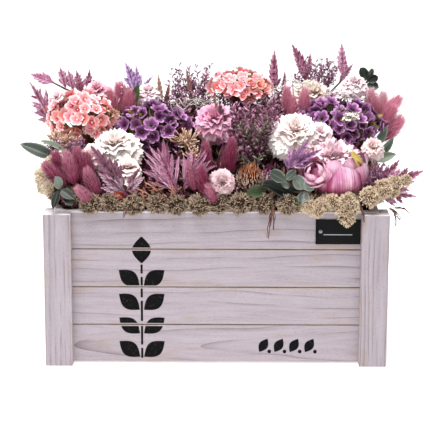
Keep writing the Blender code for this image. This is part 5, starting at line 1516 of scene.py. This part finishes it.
roots = Piece()
for start, end in (
    ((65, -111, 192), (60, -122.5, 157)), ((65, -111, 192), (66, -122.5, 168)),
    ((200, -112, 190), (212, -122, 178)), ((204, -112, 188), (206, -123, 171)),
    ((206, -110, 190), (221, -118, 186)), ((166, -112, 192), (171, -122.5, 176)),
    ((-104, -112, 190), (-106, -122, 181)),
):
    for _ in range(3):
        stop = end + oddments_rng.normal(0, 1.3, 3) * (1, 0.3, 1)
        path = bowed(start, stop, (oddments_rng.normal(0, 1), -5, 4), 9)
        path = path + oddments_rng.normal(0, 0.5, path.shape)
        values = (0, 0.6, oddments_rng.uniform())
        roots.add(tube(path, np.linspace(0.9, 0.3, 9), 5), values, wrap=True)
brown_root = blade_finish("brown_root", (44, 26, 20), (110, 76, 62))
roots.make("brown_roots", [brown_root], "heather_mauve")

QUILL_GIRTHS = ((0.35, 0.4, 0.5, 0.7, 0.85), (0.3, 0.3, 0.3, 0.3, 0.3))
bristly = Piece()
for centre, radius, rise, count, kind in (
    ((-176, -42, 250), 15, (0.1, -0.5, 1), 60, 0), ((-190, -38, 254), 11, (-0.4, -0.3, 1), 36, 0),
    ((-130, -12, 274), 15, (0.1, -0.4, 1), 60, 0), ((-36, -34, 248), 18, (0, -0.5, 1), 60, 0),
    ((-26, -50, 234), 15, (0.2, -0.6, 1), 50, 0), ((106, 20, 288), 11, (0, -0.3, 1), 36, 0),
    ((-190, -56, 246), 12, (-0.4, -0.5, 1), 60, 1), ((190, -78, 216), 17, (0.2, -0.6, 1), 80, 1),
    ((174, -88, 210), 14, (0, -0.7, 1), 60, 1), ((-60, -60, 226), 16, (0, -0.5, 1), 60, 1),
    ((60, -84, 212), 14, (0, -0.6, 1), 60, 1), ((-164, -62, 246), 13, (0, -0.6, 1), 60, 1),
):
    centre = np.array(centre, float)
    spots = unit(lattice(count, 68) + oddments_rng.normal(0, 0.16, (count, 3))) @ headings(rise)[0]
    ends = centre + spots * radius * oddments_rng.uniform(0.6, 1.3, (count, 1))
    quills = bowed(centre + spots * 2, ends, oddments_rng.normal(0, radius * 0.09, (count, 3)), 5)
    chances = oddments_rng.uniform(0, 1, (count, 1, 1))
    values = (0, np.linspace(0, 1, 7)[:, None], chances)
    bristly.add(tube(quills, QUILL_GIRTHS[kind], 5), values, kind, wrap=True)
    if kind == 1:
        sizes = oddments_rng.uniform(0.8, 1.5, (count, 1))
        beads = placed(ball(4, 5), headings(spots), ends, sizes)
        bristly.add(beads, (0, 0.8, chances), 3, wrap=True)
    foot = (centre[0] * 0.94, max(centre[1], -86))
    add_stem(bristly, foot, centre, 1.1, 5, 0, 0.4, depth=10)
bristly_finishes = [
    hair_finish("straw_bristle", (84, 48, 36), (186, 144, 118), (238, 212, 188)),
    hair_finish("plum_bristle", (66, 32, 50), (124, 76, 104), (182, 136, 162)),
    blade_finish("straw_bead", (190, 156, 120), (240, 220, 196)),
    blade_finish("plum_bead", (92, 46, 76), (170, 116, 150)),
]
bristly.make("bristle_heads", bristly_finishes, "heather_mauve")

tiny_white, count = Piece(), 34
spots = lattice_box((150, -36, 278), (168, -24, 287), count, oddments_rng)
facing = oddments_rng.normal(0, 0.5, (count, 3)) + (0, -0.7, 0.8)
axes = headings(facing, oddments_rng.uniform(*ANY_TURN, count))
add_florets(tiny_white, floret_petal(0.3), axes, spots, 1.8, oddments_rng.uniform(0, 1, (5, count)))
add_stem(tiny_white, (160, -10, 262), spots, 0.4, 4)
tiny_tones = ((196, 170, 110), (244, 236, 226), (255, 252, 248), (222, 208, 200))
tiny_finishes = [floret_finish("tiny_white", *tiny_tones), stem_green]
tiny_white.make("tiny_white_flowers", tiny_finishes, "petal_white")

spears = Piece()
for root, tip, width in (
    ((-68, 34, 282), (-71, 28, 322), 7), ((-62, 36, 282), (-58, 30, 312), 6),
    ((-32, 44, 290), (-37, 38, 328), 6), ((-76, 30, 280), (-82, 26, 304), 5),
    ((2, -18, 270), (-2, -24, 304), 6),
):
    add_toothed(spears, oddments_rng, [root], [tip], [width], form=(0, 0.4, 38, 0.5))
    add_stem(spears, root[:2], root, 0.9, 5, depth=10)
papery = toothed_finish("papery_spear", (110, 70, 66), (168, 116, 104), (204, 160, 144))
spears.make("papery_spears", [papery, twig_brown], "heather_mauve")

# The table is a seamless white sweep, which curves up behind the box. Soft light falls from a
# large panel overhead and a weaker one in front, and the camera looks down a little.

FLOOR_DROP, SWEEP_BEND, SWEEP_NEAR, SWEEP_DEEP, SWEEP_RISE = 0.2, 1500, -3000, 5000, 3500
SWEEP_HALF_WIDTH, WORLD_LIGHT = 6000, 0.31
CAMERA_AT, CAMERA_DOWN, CAMERA_ROLL = (0, -2.038, 0.660), 13.95, 0.2
LENS, SENSOR, LENS_SHIFT = 143.8, 36.0, -0.0032
sweep_u, sweep_v = spans(40, 12)
depth, rise = np.minimum(sweep_u * 2.0, 1.0), np.maximum(sweep_u * 2.0 - 1.0, 0.0) * math.pi / 2
sweep_y = SWEEP_NEAR + depth * SWEEP_DEEP + np.sin(rise) * SWEEP_BEND
sweep_z = (1 - np.cos(rise)) * SWEEP_RISE - FLOOR_DROP
sweep = Piece()
sweep.add(points_at(sweep_v * SWEEP_HALF_WIDTH, sweep_y, sweep_z))
glow = {"emission_color": (1, 1, 1, 1), "emission_strength": 0.50}
paper = Finish("white_sweep", roughness=0.9, specular_ior_level=0.0, **glow)
paper.feed(paper.place().cloud(3.0).blend((250, 250, 251), (253, 253, 253)))
sweep.make("studio_sweep", [paper.material], None)

world = bpy.data.worlds.new("studio")
bpy.context.scene.world = world
world.use_nodes = True
background = world.node_tree.nodes["Background"].inputs
background["Color"].default_value = (1.0, 1.0, 1.0, 1.0)
background["Strength"].default_value = WORLD_LIGHT

for name, place, aim, size, power in (
    ("overhead_panel", (-0.2, -0.5, 1.9), (0, 0, 0.1), 1.1, 48.0),
    ("front_panel", (-0.8, -2.6, 1.2), (0, 0, 0.15), 1.3, 6.0),
):
    lamp = bpy.data.lights.new(name, "AREA")
    lamp.energy, lamp.size = power, size
    made = bpy.data.objects.new(name, lamp)
    made.location = place
    line = Vector(aim) - Vector(place)
    made.rotation_euler = line.to_track_quat("-Z", "Y").to_euler()
    bpy.context.scene.collection.objects.link(made)

bpy.context.scene.view_settings.view_transform = "Standard"
lens = bpy.data.cameras.new("camera")
lens.lens, lens.sensor_width, lens.shift_x = LENS, SENSOR, LENS_SHIFT
camera = bpy.data.objects.new("camera", lens)
level = Matrix.Rotation(math.radians(90 - CAMERA_DOWN), 4, "X")
tilt = level @ Matrix.Rotation(math.radians(CAMERA_ROLL), 4, "Z")
camera.matrix_world = Matrix.Translation(CAMERA_AT) @ tilt
bpy.context.scene.collection.objects.link(camera)
bpy.context.scene.camera = camera
